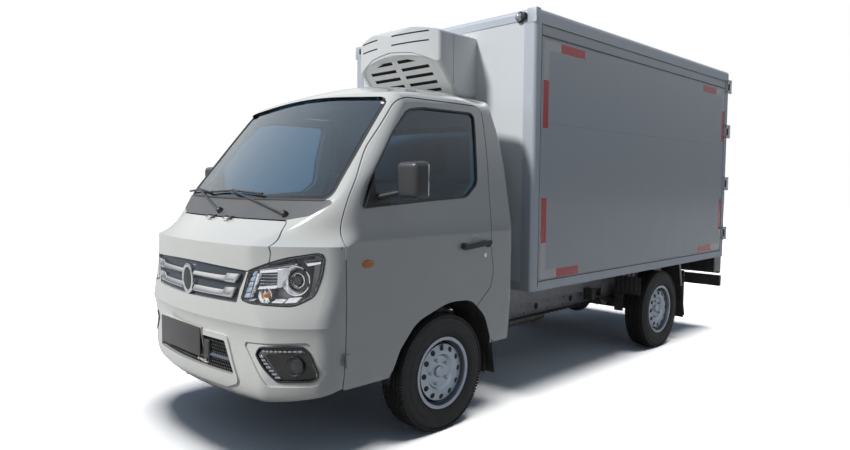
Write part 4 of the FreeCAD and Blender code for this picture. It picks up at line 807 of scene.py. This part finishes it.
# Door furniture: a black moulded mirror on an arm from the window's front corner, a pull
# handle on a cupped plate, a lock below it and an amber repeater.
mirror_plastic = finish("mirror plastic", (0.045, 0.046, 0.050), 0.30, (1800, 0.2), 0.15, 1.6)
black_plastic = finish("grained black plastic", (0.020, 0.020, 0.022), 0.5, (1500, 0.3), 0.25)
mirror_glass = finish("mirror glass", (0.72, 0.75, 0.78), 0.02, (5, 0.01), 0.05, metal=1.0)
HEAD_CORNERS = {(-1, -1): (352, 908), (1, -1): (452, 912), (1, 1): (440, 1040), (-1, 1): (350, 1043)}
MIRROR_FOOT = [(556, 1212), (480, 1224), (382, 1232), (378, 1262), (470, 1276), (470, 1385)]


def side_at(x, z, way, out=0.0):
    """The place on the cab's side straight in from a point in millimetres, or a little outside it."""
    return cab_skin.ray_cast(at(x, way * 2000, z), Vector((0, -way, 0)))[0] + Vector((0, way * out, 0))


def mirror_corner(way, sx, sy, sz):
    """A corner of the mirror's head, by its signs."""
    x, y = HEAD_CORNERS[(sx, sy)]
    return at(x, way * y, 1345 + sz * (91 if sx < 0 else 84))


def bar(size, place, radius, slope=0.0):
    """A rounded bar of one size round a place, sloping down forwards."""
    return soften(shaped_cube(lambda x, y, z: place + Vector((x * size[0] / 2, y * size[1] / 2,
                                                              z * size[2] / 2 - x * slope))), radius, 3)


def ellipsoid(size, place):
    """A smooth pebble of three half sizes on a place."""
    part = bmesh.new()
    bmesh.ops.create_uvsphere(part, u_segments=28, v_segments=14, radius=1)
    bmesh.ops.scale(part, vec=size, verts=part.verts)
    bmesh.ops.translate(part, vec=place, verts=part.verts)
    return part


for side, way in SIDES:
    body = f"door_{side}"
    head = soften(shaped_cube(lambda *signs: mirror_corner(way, *signs)), 30, 5, profile=0.6, clamp_overlap=True)
    bmesh.ops.recalc_face_normals(head, faces=head.faces)
    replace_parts(piece(f"mirror_head_{side}", head, "black_plastic", mirror_plastic, body),
                f"door_fittings_{side}")
    glass = plate([at(352, way * y, z) for y, z in ((922, 1272), (1030, 1272), (1030, 1420), (922, 1420))],
                  (-0.004, 0, 0), 1.5)
    piece(f"mirror_glass_{side}", glass, "glazing", mirror_glass, body)
    arm = bmesh.new()
    bmesh.ops.create_cone(arm, cap_ends=True, segments=20, radius1=0.019, radius2=0.015, depth=1)
    start, end = at(452, way * 790, 1262), at(415, way * 925, 1290)
    bmesh.ops.scale(arm, vec=(1.2, 0.9, (end - start).length), verts=arm.verts)
    turned(arm, (start + end) / 2, end - start)
    foot = soften(lofted([[side_at(x, z, way, out) for x, z in MIRROR_FOOT] for out in (-0.014, 0.012)]), 3,
                  clamp_overlap=True)
    piece(f"mirror_arm_{side}", [arm, foot], "black_plastic", black_plastic, body)
    lugs = [bar((0.034, 0.030, 0.034), side_at(x, 993, way, 0.008), 8) for x in (-332, -128)]
    grip = bar((0.236, 0.014, 0.026), side_at(-230, 993, way, 0.023), 6, 0.010)
    lock = spun([(0, 2), (9, 2), (11, 1), (11, -4), (0, -4)], side_at(-318, 930, way), (0, way, 0), 24)
    piece(f"door_handle_{side}", [grip, *lugs], "black_plastic", black_plastic, body)
    piece(f"door_lock_{side}", lock, "zinc_steel", satin_chrome, body)
    piece(f"handle_cup_{side}", ellipsoid((0.052, 0.006, 0.040), side_at(-232, 1010, way, 0.0005)),
          "body_paint", cab_paint, body)
    piece(f"side_repeater_{side}", ellipsoid((0.036, 0.014, 0.020), side_at(542, 950, way)), "lamp_red",
          amber, body)


# Cab inside: a moulded dashboard with a hooded dial panel and a centre console, a leather
# rimmed wheel, a rubber floor and two cloth seats with headrests on painted bases.
dash_plastic = finish("dashboard plastic", (0.050, 0.050, 0.054), 0.62, (1600, 0.4), 0.1)
floor_rubber = finish("floor rubber", (0.030, 0.030, 0.031), 0.8, (600, 0.5), 0.5, 1.2)
dress(dash_plastic, "dashboard")
dress(floor_rubber, "cab_floor")
coat(cab_floor, floor_rubber)
piece("console", [block((600, -110, 880), (668, 110, 1075), 12, 4), block((556, 255, 1085), (640, 485, 1150), 22, 4),
                  block((560, -560, 1020), (600, -220, 1060), 10, 4),
                  *(block((588, y - 44, 1015), (602, y + 44, 1060), 4) for y in (-62, 62))],
      "dark_trim", dash_plastic)
for index, y in enumerate((-62, 62)):
    vane = shaped_cube(lambda *signs: Vector([sign * half for sign, half in zip(signs, (0.003, 0.038, 0.0015))]))
    place_piece(f"air_vanes_{index}", mesh_of(vane), "root", "dark_trim", row_way, smooth=0,
                start=at(586, y, 1020), end=at(586, y, 1054), count=6, material=gloss_black)
piece("heater_knobs", [spun([(0, 14), (14, 13), (16, 0), (0, 0)], at(599, y, 960), (-1, 0, 0.2), 24)
                       for y in (-60, 0, 60)], "dark_trim", satin_chrome)
lever = spun([(0, 250), (17, 246), (22, 228), (17, 208), (7, 198), (6, 20), (34, 8), (36, 0), (0, 0)],
             at(470, 40, 450), (0.1, 0, 1), 24)
piece("gear_lever", lever, "dark_trim", black_plastic)

seat_cloth = bpy.data.materials.new("woven seat cloth")
add = node_tree(seat_cloth)
place = add("ShaderNodeTexCoord").outputs["Object"]
weave = [add("ShaderNodeTexWave", Vector=place, Scale=260.0, Distortion=0.4, bands_direction=axis) for axis in "YZ"]
threads = calc(add, "MULTIPLY", *(threads.outputs["Color"] for threads in weave))
fleck = add("ShaderNodeTexNoise", Vector=place, Scale=90.0, Detail=4.0)
tint = blend(add, calc(add, "MULTIPLY", threads, fleck), (0.028, 0.030, 0.034, 1), (0.115, 0.12, 0.13, 1))
close_shader(add, Base_Color=tint, Roughness=0.9, Sheen_Weight=0.35, Sheen_Roughness=0.5,
             Normal=add("ShaderNodeBump", Strength=0.5, Distance=0.0008, Height=threads))


WAIST = 0.05


def cushion(size, crown, channels):
    """A crowned pad round the origin, lying in XY with sewn channels and pulled-in sides."""
    part = bmesh.new()
    bmesh.ops.create_cube(part, size=1)
    bmesh.ops.subdivide_edges(part, edges=part.edges, cuts=27, use_grid_fill=True)
    for v in part.verts:
        u, w, t = (2 * c for c in v.co)
        height = 0.5 * size[2] * t
        if t > 0:
            height *= 1 - 0.288 * (max(0.0, max(abs(u), abs(w)) - 0.72) / 0.28) ** 1.4
        if t > 0.98:
            height += crown * (1 - u * u) * (1 - w * w)
            height -= sum(0.007 * math.exp(-((abs(w) - line) / 0.035) ** 2) for line in channels)
        corner = 1 - 0.045 * (abs(u) * abs(w)) ** 4
        pull = 0.5 * WAIST * (1 - t * t)
        v.co = Vector((0.5 * size[0] * u * corner * (1 - pull * abs(u)),
                       0.5 * size[1] * w * corner * (1 - pull * abs(w)), height))
    bmesh.ops.recalc_face_normals(part, faces=part.faces)
    return part


SEAT_Y = 370
SEAT_PADS = {
    "cushion": ((0.50, 0.46, 0.125), 0.022, (0.0, 0.55), at(112, SEAT_Y, 812), -5),
    "back": ((0.54, 0.45, 0.105), 0.020, (0.0, 0.55), at(-205, SEAT_Y, 1098), 74),
    "headrest": ((0.17, 0.27, 0.085), 0.012, (), at(-285, SEAT_Y, 1480), 76),
}
for side, way in SIDES:
    for name, (size, crown, channels, place, tilt) in SEAT_PADS.items():
        part = cushion(size, crown, channels)
        bmesh.ops.transform(part, verts=part.verts, matrix=Matrix.Translation(
            (place.x, place.y * way, place.z)) @ Matrix.Rotation(math.radians(tilt), 4, "Y"))
        pad = piece(f"seat_{name}_{side}", part, "seat_cloth", seat_cloth, smooth=60)
        smoothing = pad.modifiers.new("soft", "SUBSURF")
        smoothing.levels = smoothing.render_levels = 1
        if name == "cushion":
            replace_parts(pad, "seats")
    y = way * SEAT_Y
    piece(f"seat_frame_{side}", [
        block((-150, y - 190, 740), (340, y + 190, 768), 8),
        *(block((-160, y + a - 14, 738), (345, y + a + 14, 752), 3) for a in (-170, 170)),
        *(spun([(0, 100), (6, 100), (6, 0), (0, 0)], at(-262, y + a, 1350), (-0.2, 0, 1), 16) for a in (-50, 50)),
        *(block((-190, y + a - 10, 770), (-110, y + a + 10, 880), 8) for a in (-222, 222))],
        "dark_trim", black_plastic)


# Box body: flat sandwich panels with white skins, a shallow joint along each side, and
# aluminium angles on every edge fixed by rows of blind rivets.
panel_white = finish("white panel skin", (0.745, 0.77, 0.785), 0.30, (40, 0.03), 0.10, 1.2,
                     Coat_Weight=0.25, Coat_Roughness=0.12)
edge_alloy = finish("anodised aluminium", (0.56, 0.60, 0.65), 0.36, (220, 0.12), 0.12, 1.2, 0.2, stretch=(1, 1, 12))
dress(panel_white, "box_sides", "box_front", "box_roof", "box_floor", "rear_door_left", "rear_door_right")
dress(edge_alloy, "box_edges", "rear_portal")
joint_shadow = finish("panel joint sealant", (0.10, 0.105, 0.11), 0.5, (500, 0.1))
joint_faint = finish("panel joint filler", (0.50, 0.53, 0.56), 0.5, (500, 0.1), 0.1)
PANEL_Y, EDGE_Y, BOX_FRONT = 846, 850, -725


def skin_block(way, y, x0, x1, z0, z1, out):
    """A flat strip on the box's side at one distance from the middle, standing a little out."""
    return block((x0, way * y - 0.5, z0), (x1, way * y + out, z1), 0)


# The dark strips along the box's side joints paint the shadow that falls in the joints' grooves.
for side, way in SIDES:
    joints = [skin_block(way, EDGE_Y, -3690, -784, z - half, z + half, 0.8)
              for z, half in ((2226, 3.5), (734, 2), (2292, 2.5))]
    joints.append(skin_block(way, EDGE_Y, -788, -783, 700, 2290, 0.8))
    piece(f"side_joints_{side}", joints, "grey_plastic", joint_shadow, smooth=0)
    piece(f"middle_joint_{side}", skin_block(way, PANEL_Y, -3688, -798, 1705, 1707, 0.5), "grey_plastic",
          joint_faint, smooth=0)
rivet_mesh = mesh_of(lathe([(0, 1.6), (2.4, 1.3), (4.2, 0), (4.2, -1), (0, -1)], 12))


def rivet_row(name, start, end, facing, spacing=140, material=edge_alloy, mesh=rivet_mesh):
    """A row of rivets a set distance apart between two places in millimetres."""
    head = mesh.copy()
    head.transform(Vector(facing).to_track_quat("Z", "Y").to_matrix().to_4x4())
    start, end = at(*start), at(*end)
    place_piece(name, head, "root", "aluminium_edge", row_way, start=start, end=end,
                count=max(2, round((end - start).length * 1000 / spacing) + 1), material=material)


corner_caps = []
for side, way in SIDES:
    y = way * EDGE_Y
    rivet_row(f"rivets_front_post_{side}", (-770, y, 760), (-770, y, 2210), (0, way, 0))
    rivet_row(f"rivets_top_{side}", (-830, y, 2315), (-3640, y, 2315), (0, way, 0))
    rivet_row(f"rivets_sill_{side}", (-830, y, 700), (-3640, y, 700), (0, way, 0))
    rivet_row(f"rivets_front_{side}", (BOX_FRONT, way * 806, 760), (BOX_FRONT, way * 806, 2290), FORWARD)
    corner_caps.append(side_block(way, (-772, 782, 2292), (-723, 851.5, 2384), 5, 4))
    corner_caps += [side_block(way, (-770, 782, z), (-722.4, 852.3, z + 4), 1.5, 2) for z in (2304, 2314, 2324)]
rivet_row("rivets_front_top", (BOX_FRONT, -700, 2352), (BOX_FRONT, 700, 2352), FORWARD)
rivet_row("rivets_front_low", (BOX_FRONT, -700, 700), (BOX_FRONT, 700, 700), FORWARD)
piece("corner_caps", corner_caps, "aluminium_edge", edge_alloy)


# Reflective tape: red and white self-adhesive strips, 55 mm wide, that mark the corners
# of each side and the foot of the rear doors.
def tape(name, colour):
    """Prismatic tape: a fine crossed cell pattern under a gloss film."""
    made = bpy.data.materials.new(name)
    add = node_tree(made)
    cells = add("ShaderNodeTexVoronoi", Vector=add("ShaderNodeTexCoord").outputs["Object"], Scale=240.0)
    shade = add("ShaderNodeMapRange", Value=cells.outputs["Distance"], From_Max=0.5, To_Min=0.8, To_Max=1.0)
    close_shader(add, Base_Color=blend(add, shade, (*(c * 0.7 for c in colour), 1), (*colour, 1)),
                 Roughness=0.25, Coat_Weight=0.4)
    return made


# The tapes' red and white are set near full brightness: their own colours with a painted glow for the light the
# prismatic film sends back.
TAPES = {
    "red": (tape("red reflective tape", (0.98, 0.012, 0.028)), (
        (-999, -1280, 2150, 2205), (-816, -871, 1675, 1965), (-816, -871, 970, 1248), (-990, -1250, 744, 799),
        (-3195, -3485, 2150, 2205), (-3634, -3689, 1740, 2018), (-3634, -3689, 934, 1213),
        (-3190, -3480, 750, 805))),
    "white": (tape("white reflective tape", (0.98, 0.95, 0.90)), (
        (-816, -999, 2150, 2205), (-816, -871, 1965, 2150), (-816, -871, 799, 970), (-816, -990, 744, 799),
        (-3485, -3689, 2150, 2205), (-3634, -3689, 2018, 2150), (-3634, -3689, 805, 934),
        (-3480, -3689, 750, 805))),
}
for side, way in SIDES:
    for kind, (material, spans) in TAPES.items():
        strips = [block((x1, way * PANEL_Y - 0.4, z0), (x0, way * PANEL_Y + 0.7, z1), 0.3, 1)
                  for x0, x1, z0, z1 in spans]
        piece(f"tape_{kind}_{side}", strips, "body_paint", material, smooth=0)


# Marker lamps: a round clear lamp on a rubber foot at each upper front corner of the box.
dress(clear_lens, "lamps")
for side, way in SIDES:
    marker = spun([(0, 30), (12, 27), (22, 18), (26, 8), (26, 0), (0, 0)], at(-719, way * 730, 2338),
                  (1, 0.2 * way, 0), 28)
    foot = spun([(33, 0), (33, 9), (28, 12), (22, 10), (22, 0)], at(BOX_FRONT, way * 736, 2338), FORWARD, 28)
    stay = block((BOX_FRONT, way * 768 - 14, 2318), (-700, way * 768 + 14, 2360), 7)
    piece(f"marker_lens_{side}", marker, "lamp_lens", led_clear)
    piece(f"marker_foot_{side}", [foot, stay], "black_plastic", seal_rubber)


# Cooling unit: a white glass fibre hood over the cab roof with two rows of intake slots,
# and an evaporator hung from the roof inside the box.
dress(finish("white glass fibre", (0.74, 0.75, 0.75), 0.28, (60, 0.04), 0.1, 2.6, Coat_Weight=0.3,
             Coat_Roughness=0.1), "cooling_unit", "evaporator")
# Painted shade: faces inside the lower slots are coloured near black and faces inside the upper grooves mid grey,
# for the shade that falls in them.
painted_shade_black = finish("painted shade black", (0.012, 0.012, 0.013), 0.8, (900, 0.4), 0.1)
painted_shade_grey = finish("painted shade grey", (0.12, 0.125, 0.13), 0.6, (900, 0.1), 0.1)
unit_skin = skin_of("cooling_unit")
SLOT_REACH = 0.03
UPPER_SLOTS_Z = 2140


def in_slot(face):
    """Whether a face of the cooling unit lies inside one of its slots, by what stands before it."""
    def walled(direction):
        return unit_skin.ray_cast(face.center + face.normal * 0.0006, direction, SLOT_REACH)[0] is not None
    _, y, z = millimetres(face.center)
    if 1910 < z < 2125 and abs(y) < 305 and (abs(face.normal.z) > 0.985 or abs(face.normal.y) > 0.985):
        return True
    lean = Vector((0, 0, 1)) - face.normal * face.normal.z
    if walled(face.normal) or lean.length < 0.3:
        return walled(face.normal)
    lean.normalize()
    return all(walled(face.normal * 0.35 + lean * k) for k in (0.94, -0.94))


for material, upper in ((painted_shade_black, False), (painted_shade_grey, True)):
    blacken("cooling_unit", material,
            lambda face: (millimetres(face.center).z >= UPPER_SLOTS_Z) == upper and in_slot(face))
# The seams on the unit's sides are real, drawn in the painted shade grey of their gap.
piece("unit_seams", [block((-510, way * 385 - 0.4, 1955), (-507.5, way * 385 + 0.4, 2262), 0) for way in (1, -1)],
      "unit_white", painted_shade_grey, smooth=0)


# Rear doors: rubber gaskets round each leaf, stainless lock rods with their keepers, and
# forged hinges; red and white tape along the foot.
zinc = finish("zinc plated steel", (0.50, 0.51, 0.52), 0.40, (160, 0.1), metal=0.8, tone=(14.0, (0.40, 0.41, 0.43)))
dress(finish("brushed stainless", (0.58, 0.58, 0.58), 0.28, (300, 0.15), 0.15, metal=1.0, stretch=(1, 1, 14)),
      "rear_door_gear_left", "rear_door_gear_right")
dress(zinc, "hinge_brackets", "tow_eyes")
GASKET_INSET = 0.004
for side, way in SIDES:
    body = f"rear_door_{side}"
    leaf_low, leaf_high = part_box(body)
    y0, y1 = leaf_low.y + GASKET_INSET, leaf_high.y - GASKET_INSET
    z0, z1 = leaf_low.z + GASKET_INSET, leaf_high.z - GASKET_INSET
    ring = bmesh.new()
    corners = [ring.verts.new((leaf_low.x + 0.001, y, z)) for y, z in ((y0, z0), (y1, z0), (y1, z1), (y0, z1))]
    for k in range(4):
        ring.edges.new((corners[k], corners[(k + 1) % 4]))
    place_piece(f"door_gasket_{side}", mesh_of(ring), body, "black_plastic", strip_way,
                width=0.020, rise=0.012, material=seal_rubber)
    for kind, first in (("red", 250), ("white", 150)):
        strips = [side_block(way, (-3751.0, y, 800), (-3749.6, y + 100, 850), 0.3, 1)
                  for y in (first, first + 200, first + 400)]
        piece(f"door_tape_{kind}_{side}", strips, "body_paint", TAPES[kind][0], body, smooth=0)


# Chassis: pressed channel rails in grey paint with round holes, bolted and riveted
# cross members, galvanised bearers under the floor.
chassis_paint = finish("chassis paint", (0.60, 0.605, 0.61), 0.5, (400, 0.2), 0.3, 0.75, dull=0.85, patch=9.0,
                       tone=(8.0, (0.48, 0.485, 0.49)))
galvanised = finish("galvanised steel", (0.42, 0.44, 0.45), 0.42, (90, 0.1), 0.4, metal=0.7,
                    tone=(22.0, (0.33, 0.35, 0.37)))
under_black = finish("underbody black", (0.028, 0.028, 0.029), 0.6, (500, 0.3), 0.6, 0.7, dull=0.9)
dress(chassis_paint, "frame_rails", "cross_members", "subframe")
dress(galvanised, "cross_bearers")
bolt_mesh = mesh_of(lathe([(0, 9), (8, 9), (10, 7), (10, 2), (13, 2), (13, 0), (0, 0)], 6))
RAIL_Y = 427.5
RAIL_HOLES = ((-918, 445, 24), (-1374, 450, 24), (-1830, 452, 24), (-3100, 437, 24), (-3400, 437, 24),
              (-1520, 420, 6), (-1516, 474, 5), (-1714, 428, 5), (-1733, 474, 6), (-1977, 472, 6),
              (-1975, 428, 5), (-1200, 470, 5), (-1230, 415, 6))
HANGER = ((-2294, 545), (-2425, 540), (-2430, 400), (-2395, 352), (-2347, 336), (-2300, 352), (-2284, 380))
HANGER_LUG = ((-2190, 430), (-2270, 430), (-2262, 366), (-2226, 350), (-2194, 372))
for side, way in SIDES:
    face_y, outward = way * RAIL_Y, Vector((0, way, 0))
    # Painted shade: the rail's holes are near black discs and a near black strip runs under its lower flange, for
    # the shade in the holes and under the flange.
    holes = [spun([(0, 0.6), (r - 3, 0.6), (r, 0.2), (r, -0.5), (0, -0.5)], at(x, face_y, z), outward, 24)
             for x, z, r in RAIL_HOLES]
    holes.append(block((-2240, face_y - 30, 376), (-700, face_y + 0.8, 386), 0))
    hanger = plate([at(x, face_y, z) for x, z in HANGER], outward * 0.007)
    pin = spun([(0, 18), (14, 18), (16, 14), (16, 0), (0, 0)], at(-2347, face_y, 390), outward, 6)
    lug = plate([at(x, face_y, z) for x, z in HANGER_LUG], outward * 0.010, 3)
    piece(f"spring_hanger_{side}", hanger, "chassis_black", plate_grey)
    piece(f"hanger_pin_{side}", [pin, lug], "cast_metal", under_black)
    piece(f"rail_holes_{side}", holes, "chassis_black", painted_shade_black, smooth=0)
    for index, z in enumerate((468, 402)):
        rivet_row(f"rail_bolts_{side}_{index}", (-3140, face_y, z), (-3560, face_y, z), outward, 82,
                  chassis_paint, bolt_mesh)


# Axles and springs: cast and forged steel under black paint; each rear spring is a stack
# of leaves clamped by two U-bolts, with shackles at its ends.
cast_black = finish("black cast iron", (0.040, 0.040, 0.040), 0.58, (220, 0.5), 0.75, 0.7, 0.25, 0.9,
                    tone=(16.0, (0.075, 0.062, 0.052)))
dress(cast_black, "front_suspension", "rear_axle", "knuckle_left", "knuckle_right", "rear_springs",
      "propeller_shaft", "engine")
for side, way in SIDES:
    y = way * 470
    clamps = [block((x - 7, y - 40, 352), (x + 7, y + 40, 470), 4) for x in (-2655, -2565)]
    clamps += [block((x - 6, y - 34, 462), (x + 6, y + 34, 476), 3) for x in (-2665, -2555)]
    piece(f"spring_clamps_{side}", clamps, "cast_metal", cast_black)


# Guards: ribbed black plates before the rear wheels, narrower low down, leaning rubber
# flaps behind all four, and pale brackets that carry them and the tail.
FLAPS = ((-400, 470, -437, 228, 600), (-2946, 655, -3064, 202, 628))
GUARD_X = -2237.5
guards = []


def leaning(top, foot, front, back, outer, inner, way):
    """A slab that leans from its top to its foot, each given as (x, z)."""
    def corner(sx, sy, sz):
        x, z = top if sz > 0 else foot
        return at(x + (front if sx > 0 else back), way * (outer if sy > 0 else inner), z)
    return shaped_cube(corner)


for side, way in SIDES:
    flaps = [leaning((top_x, top_z), (foot_x, foot_z), 3, -3, 802, inner, way)
             for top_x, top_z, foot_x, foot_z, inner in FLAPS]
    piece(f"mud_flaps_{side}", flaps, "black_plastic", under_black, smooth=0)
    guards += [side_block(way, (GUARD_X - 3, 580, z0), (GUARD_X + 3, y, z1), 1, 1)
               for y, z0, z1 in ((800, 470, 612), (655, 330, 470))]
    guards += [block((-2236, way * y - 6, 482), (-2226, way * y + 6, 650), 4, 2) for y in (612, 650, 688, 726, 764)]
    brackets = [leaning((-2940, 662), (-2988, 470), 14, -8, 805, 798, way),
                side_block(way, (-3735, 836, 538), (-3590, 847, 677))]
    piece(f"tail_brackets_{side}", brackets, "grey_paint", plate_grey, smooth=20)
guard_sheet = sheet_of("splash_guards")
old_plates = [f for f in guard_sheet.faces for place in [millimetres(f.calc_center_median())]
              if abs(place.x - GUARD_X) < 3.5 and place.z < 612.5]
bmesh.ops.delete(guard_sheet, geom=old_plates, context="FACES")
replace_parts(piece("wheel_guards", [guard_sheet, *guards], "black_plastic", under_black), "splash_guards")


# Exhaust, tank and spare: an aluminised exhaust, a black moulded tank in two steel straps
# and the spare wheel on its winch rod.
dress(finish("aluminised steel", (0.34, 0.33, 0.31), 0.48, (120, 0.2), 0.6, 0.7, 0.8,
             tone=(12.0, (0.25, 0.20, 0.16))), "exhaust")
dress(under_black, "fuel_tank", "spare_wheel", "splash_guards", "tail_panel", "underride_bar")
piece("tank_straps", [block((x - 17, *low), (x + 17, *high), 0.8, 1) for x in (-1440, -1070) for low, high in (
    ((-699, 288.5), (-427, 291)), ((-699.5, 330), (-697, 500)))], "zinc_steel", galvanised)
filler = spun([(0, 30), (34, 28), (38, 20), (38, 0), (0, 0)], at(-1010, -697, 455), (0, -1, 0), 32)
piece("filler_cap", filler, "black_plastic", black_plastic)


# Tyres: radial light truck tyres, black rubber with four grooves, blocks that repeat round
# the tread, a ribbed shoulder and a raised ring on the side wall.
tyre_rubber = bpy.data.materials.new("tyre rubber")
add = node_tree(tyre_rubber)
mottle = add("ShaderNodeTexNoise", Vector=add("ShaderNodeTexCoord").outputs["Object"], Scale=22.0, Detail=6.0)
close_shader(add, Base_Color=blend(add, mottle, (0.006, 0.006, 0.0065, 1), (0.019, 0.018, 0.017, 1)),
             Roughness=add("ShaderNodeMapRange", Value=mottle, To_Min=0.55, To_Max=0.85),
             Normal=grained(add, 900, 0.25))
HALF_TYRE = [(178.5, 66), (182, 74), (200, 69), (204, 71), (207, 74), (209, 79), (214, 80.5), (217, 79), (220, 83),
             (238, 85), (252, 86), (256, 85), (259, 83), (272, 82), (275, 83.5), (283, 81), (290, 77), (298, 71),
             (306, 63), (309, 56), (309, 40), (302.5, 39), (302.5, 31), (309, 30), (309, 14), (302.5, 13),
             (302.5, 5), (309, 4)]
TYRE = HALF_TYRE + [(radius, -across) for radius, across in reversed(HALF_TYRE)]
ring_way, add, given = geometry_way("repeat round a wheel", [
    ("Count", "Int", 60), ("Centre", "Vector", None), ("Phase", "Float", 0.0)])
points = add("GeometryNodeMeshLine", mode="OFFSET", Count=given["Count"], Offset=(0, 0, 0))
angle = calc(add, "MULTIPLY_ADD", add("GeometryNodeInputIndex"),
             calc(add, "DIVIDE", 2 * math.pi, given["Count"]), given["Phase"])
ring_of = add("GeometryNodeInstanceOnPoints", Points=points, Instance=given["Geometry"],
              Rotation=add("ShaderNodeCombineXYZ", Y=angle))
real = add("GeometryNodeRealizeInstances", Geometry=ring_of)
close_way(add, add("GeometryNodeSetPosition", Geometry=real, Offset=given["Centre"]), given)


def tread_block(y0, y1, length, slant, bottom=302, top=315.6):
    """One block of the tread at the top of the wheel, in millimetres round the wheel's centre."""
    part = bmesh.new()
    rings = []
    for z, inset in ((bottom, 0), (top, 0.6)):
        rings.append([part.verts.new((
            (way * (length / 2 - inset) + slant * (y - (y0 + y1) / 2)) / 1000,
            (y + (inset if y == y0 else -inset)) / 1000, z / 1000))
            for way, y in ((-1, y0), (1, y0), (1, y1), (-1, y1))])
    low, high = rings
    part.faces.new(high)
    for k in range(4):
        after = (k + 1) % 4
        part.faces.new((low[k], low[after], high[after], high[k]))
    bmesh.ops.recalc_face_normals(part, faces=part.faces)
    return part


rim_silver = finish("silver wheel paint", (0.44, 0.50, 0.57), 0.30, (300, 0.05), 0.25, 0.6, 0.55)
blocks_mesh = mesh_of([tread_block(*values) for values in (
    (-75, -41, 13.0, 0.10, 298, 311.5), (41, 75, 13.0, 0.10, 298, 311.5), (-55, -40.5, 13.0, 0.10, 302, 315.2),
    (40.5, 55, 13.0, 0.10, 302, 315.2), (-29, -15, 13.5, 0.35), (15, 29, 13.5, 0.35), (-3.2, 3.2, 15.5, 0))])
for corner, wheel_x, wheel_y in (("front_left", 0, 730), ("front_right", 0, -730), ("rear_left", -2610, 714),
                                 ("rear_right", -2610, -714)):
    body = f"wheel_{corner}"
    centre = at(wheel_x, wheel_y, AXLE_Z)
    way = math.copysign(1, wheel_y)
    outward = Vector((0, way, 0))

    def round_wheel(name, mesh, slot, smooth, count, material, phase=0.0):
        """What is repeated round this wheel, from a mesh that lies at its top round the origin."""
        place_piece(f"{name}_{corner}", mesh, body, slot, ring_way, smooth=smooth, count=count, centre=centre,
                    phase=phase, material=material)

    carcass = lathe(TYRE, 96)
    bmesh.ops.transform(carcass, verts=carcass.verts,
                        matrix=Matrix.Translation(centre) @ Matrix.Rotation(-math.pi / 2, 4, "X"))
    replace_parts(piece(f"tyre_{corner}_carcass", carcass, "tyre_rubber", tyre_rubber, body), f"tyre_{corner}")
    place_piece(f"tyre_{corner}_tread", blocks_mesh.copy(), body, "tyre_rubber", ring_way, smooth=0, count=118,
                centre=centre, phase=0.0, material=tyre_rubber)
    dress(rim_silver, f"rim_{corner}")
    # Painted shade: the rim's well beside the disc is coloured near black, and the vents are near black discs, for
    # the shade in the gap and behind the vent holes.
    blacken(f"rim_{corner}", painted_shade_black, lambda face: 0.1505 < math.hypot(
        face.center.x - centre.x, face.center.z - centre.z) < 0.166 and abs(face.center.y) > abs(centre.y))
    round_wheel("rim_vents", mesh_of(spun([(0, 0.6), (14, 0.6), (15.5, 0), (15.5, -2), (0, -2)],
                                          Vector((0, way * 0.0588, 0.132)), (0, way, 0.23), 18)),
                "black_plastic", 0, 12, painted_shade_black)
    round_wheel("wheel_nuts", mesh_of(spun([(0, 20), (6, 20), (9.5, 16), (9.5, 3), (13, 2), (13, 0), (0, 0)],
                                           Vector((0, way * 0.037, 0.066)), outward, 6)),
                "zinc_steel", 30, 5, zinc, 0.3)
    piece(f"hub_cap_{corner}", spun([(0, 30), (22, 28), (29, 20), (31, 0), (0, 0)], centre + outward * 0.028,
                                    outward, 32), "grey_paint", rim_silver, body)
    piece(f"valve_{corner}", spun([(0, 34), (3.5, 33), (3.5, 8), (6, 4), (6, 0), (0, 0)],
                                  centre + Vector((0, way * 0.040, 0.160)), (0, way, -0.35), 14),
          "black_plastic", seal_rubber, body)


# Tail: a black lamp board and bumper tube, a three-part lamp cluster at each side and
# a blank plate between two small lamps.
lamp_red = see_through("red lens", (0.62, 0.012, 0.012), 0.12, 1.45, (160, 0.5), 0.3)
for side, way in SIDES:
    for name, y0, y1, material in (("stop", 735, 820, lamp_red), ("turn", 650, 733, amber),
                                   ("reverse", 562, 648, clear_lens)):
        piece(f"lamp_{name}_{side}", side_block(way, (-3750, y0, 542), (-3734, y1, 628), 6), "lamp_red", material)
    piece(f"lamp_tray_{side}", side_block(way, (-3739, 556, 536), (-3732, 826, 634)), "black_plastic",
          black_plastic)
piece("rear_blank_plate", block((-3741, -220, 545), (-3736, 220, 655), 2), "black_plastic", plate_dark)
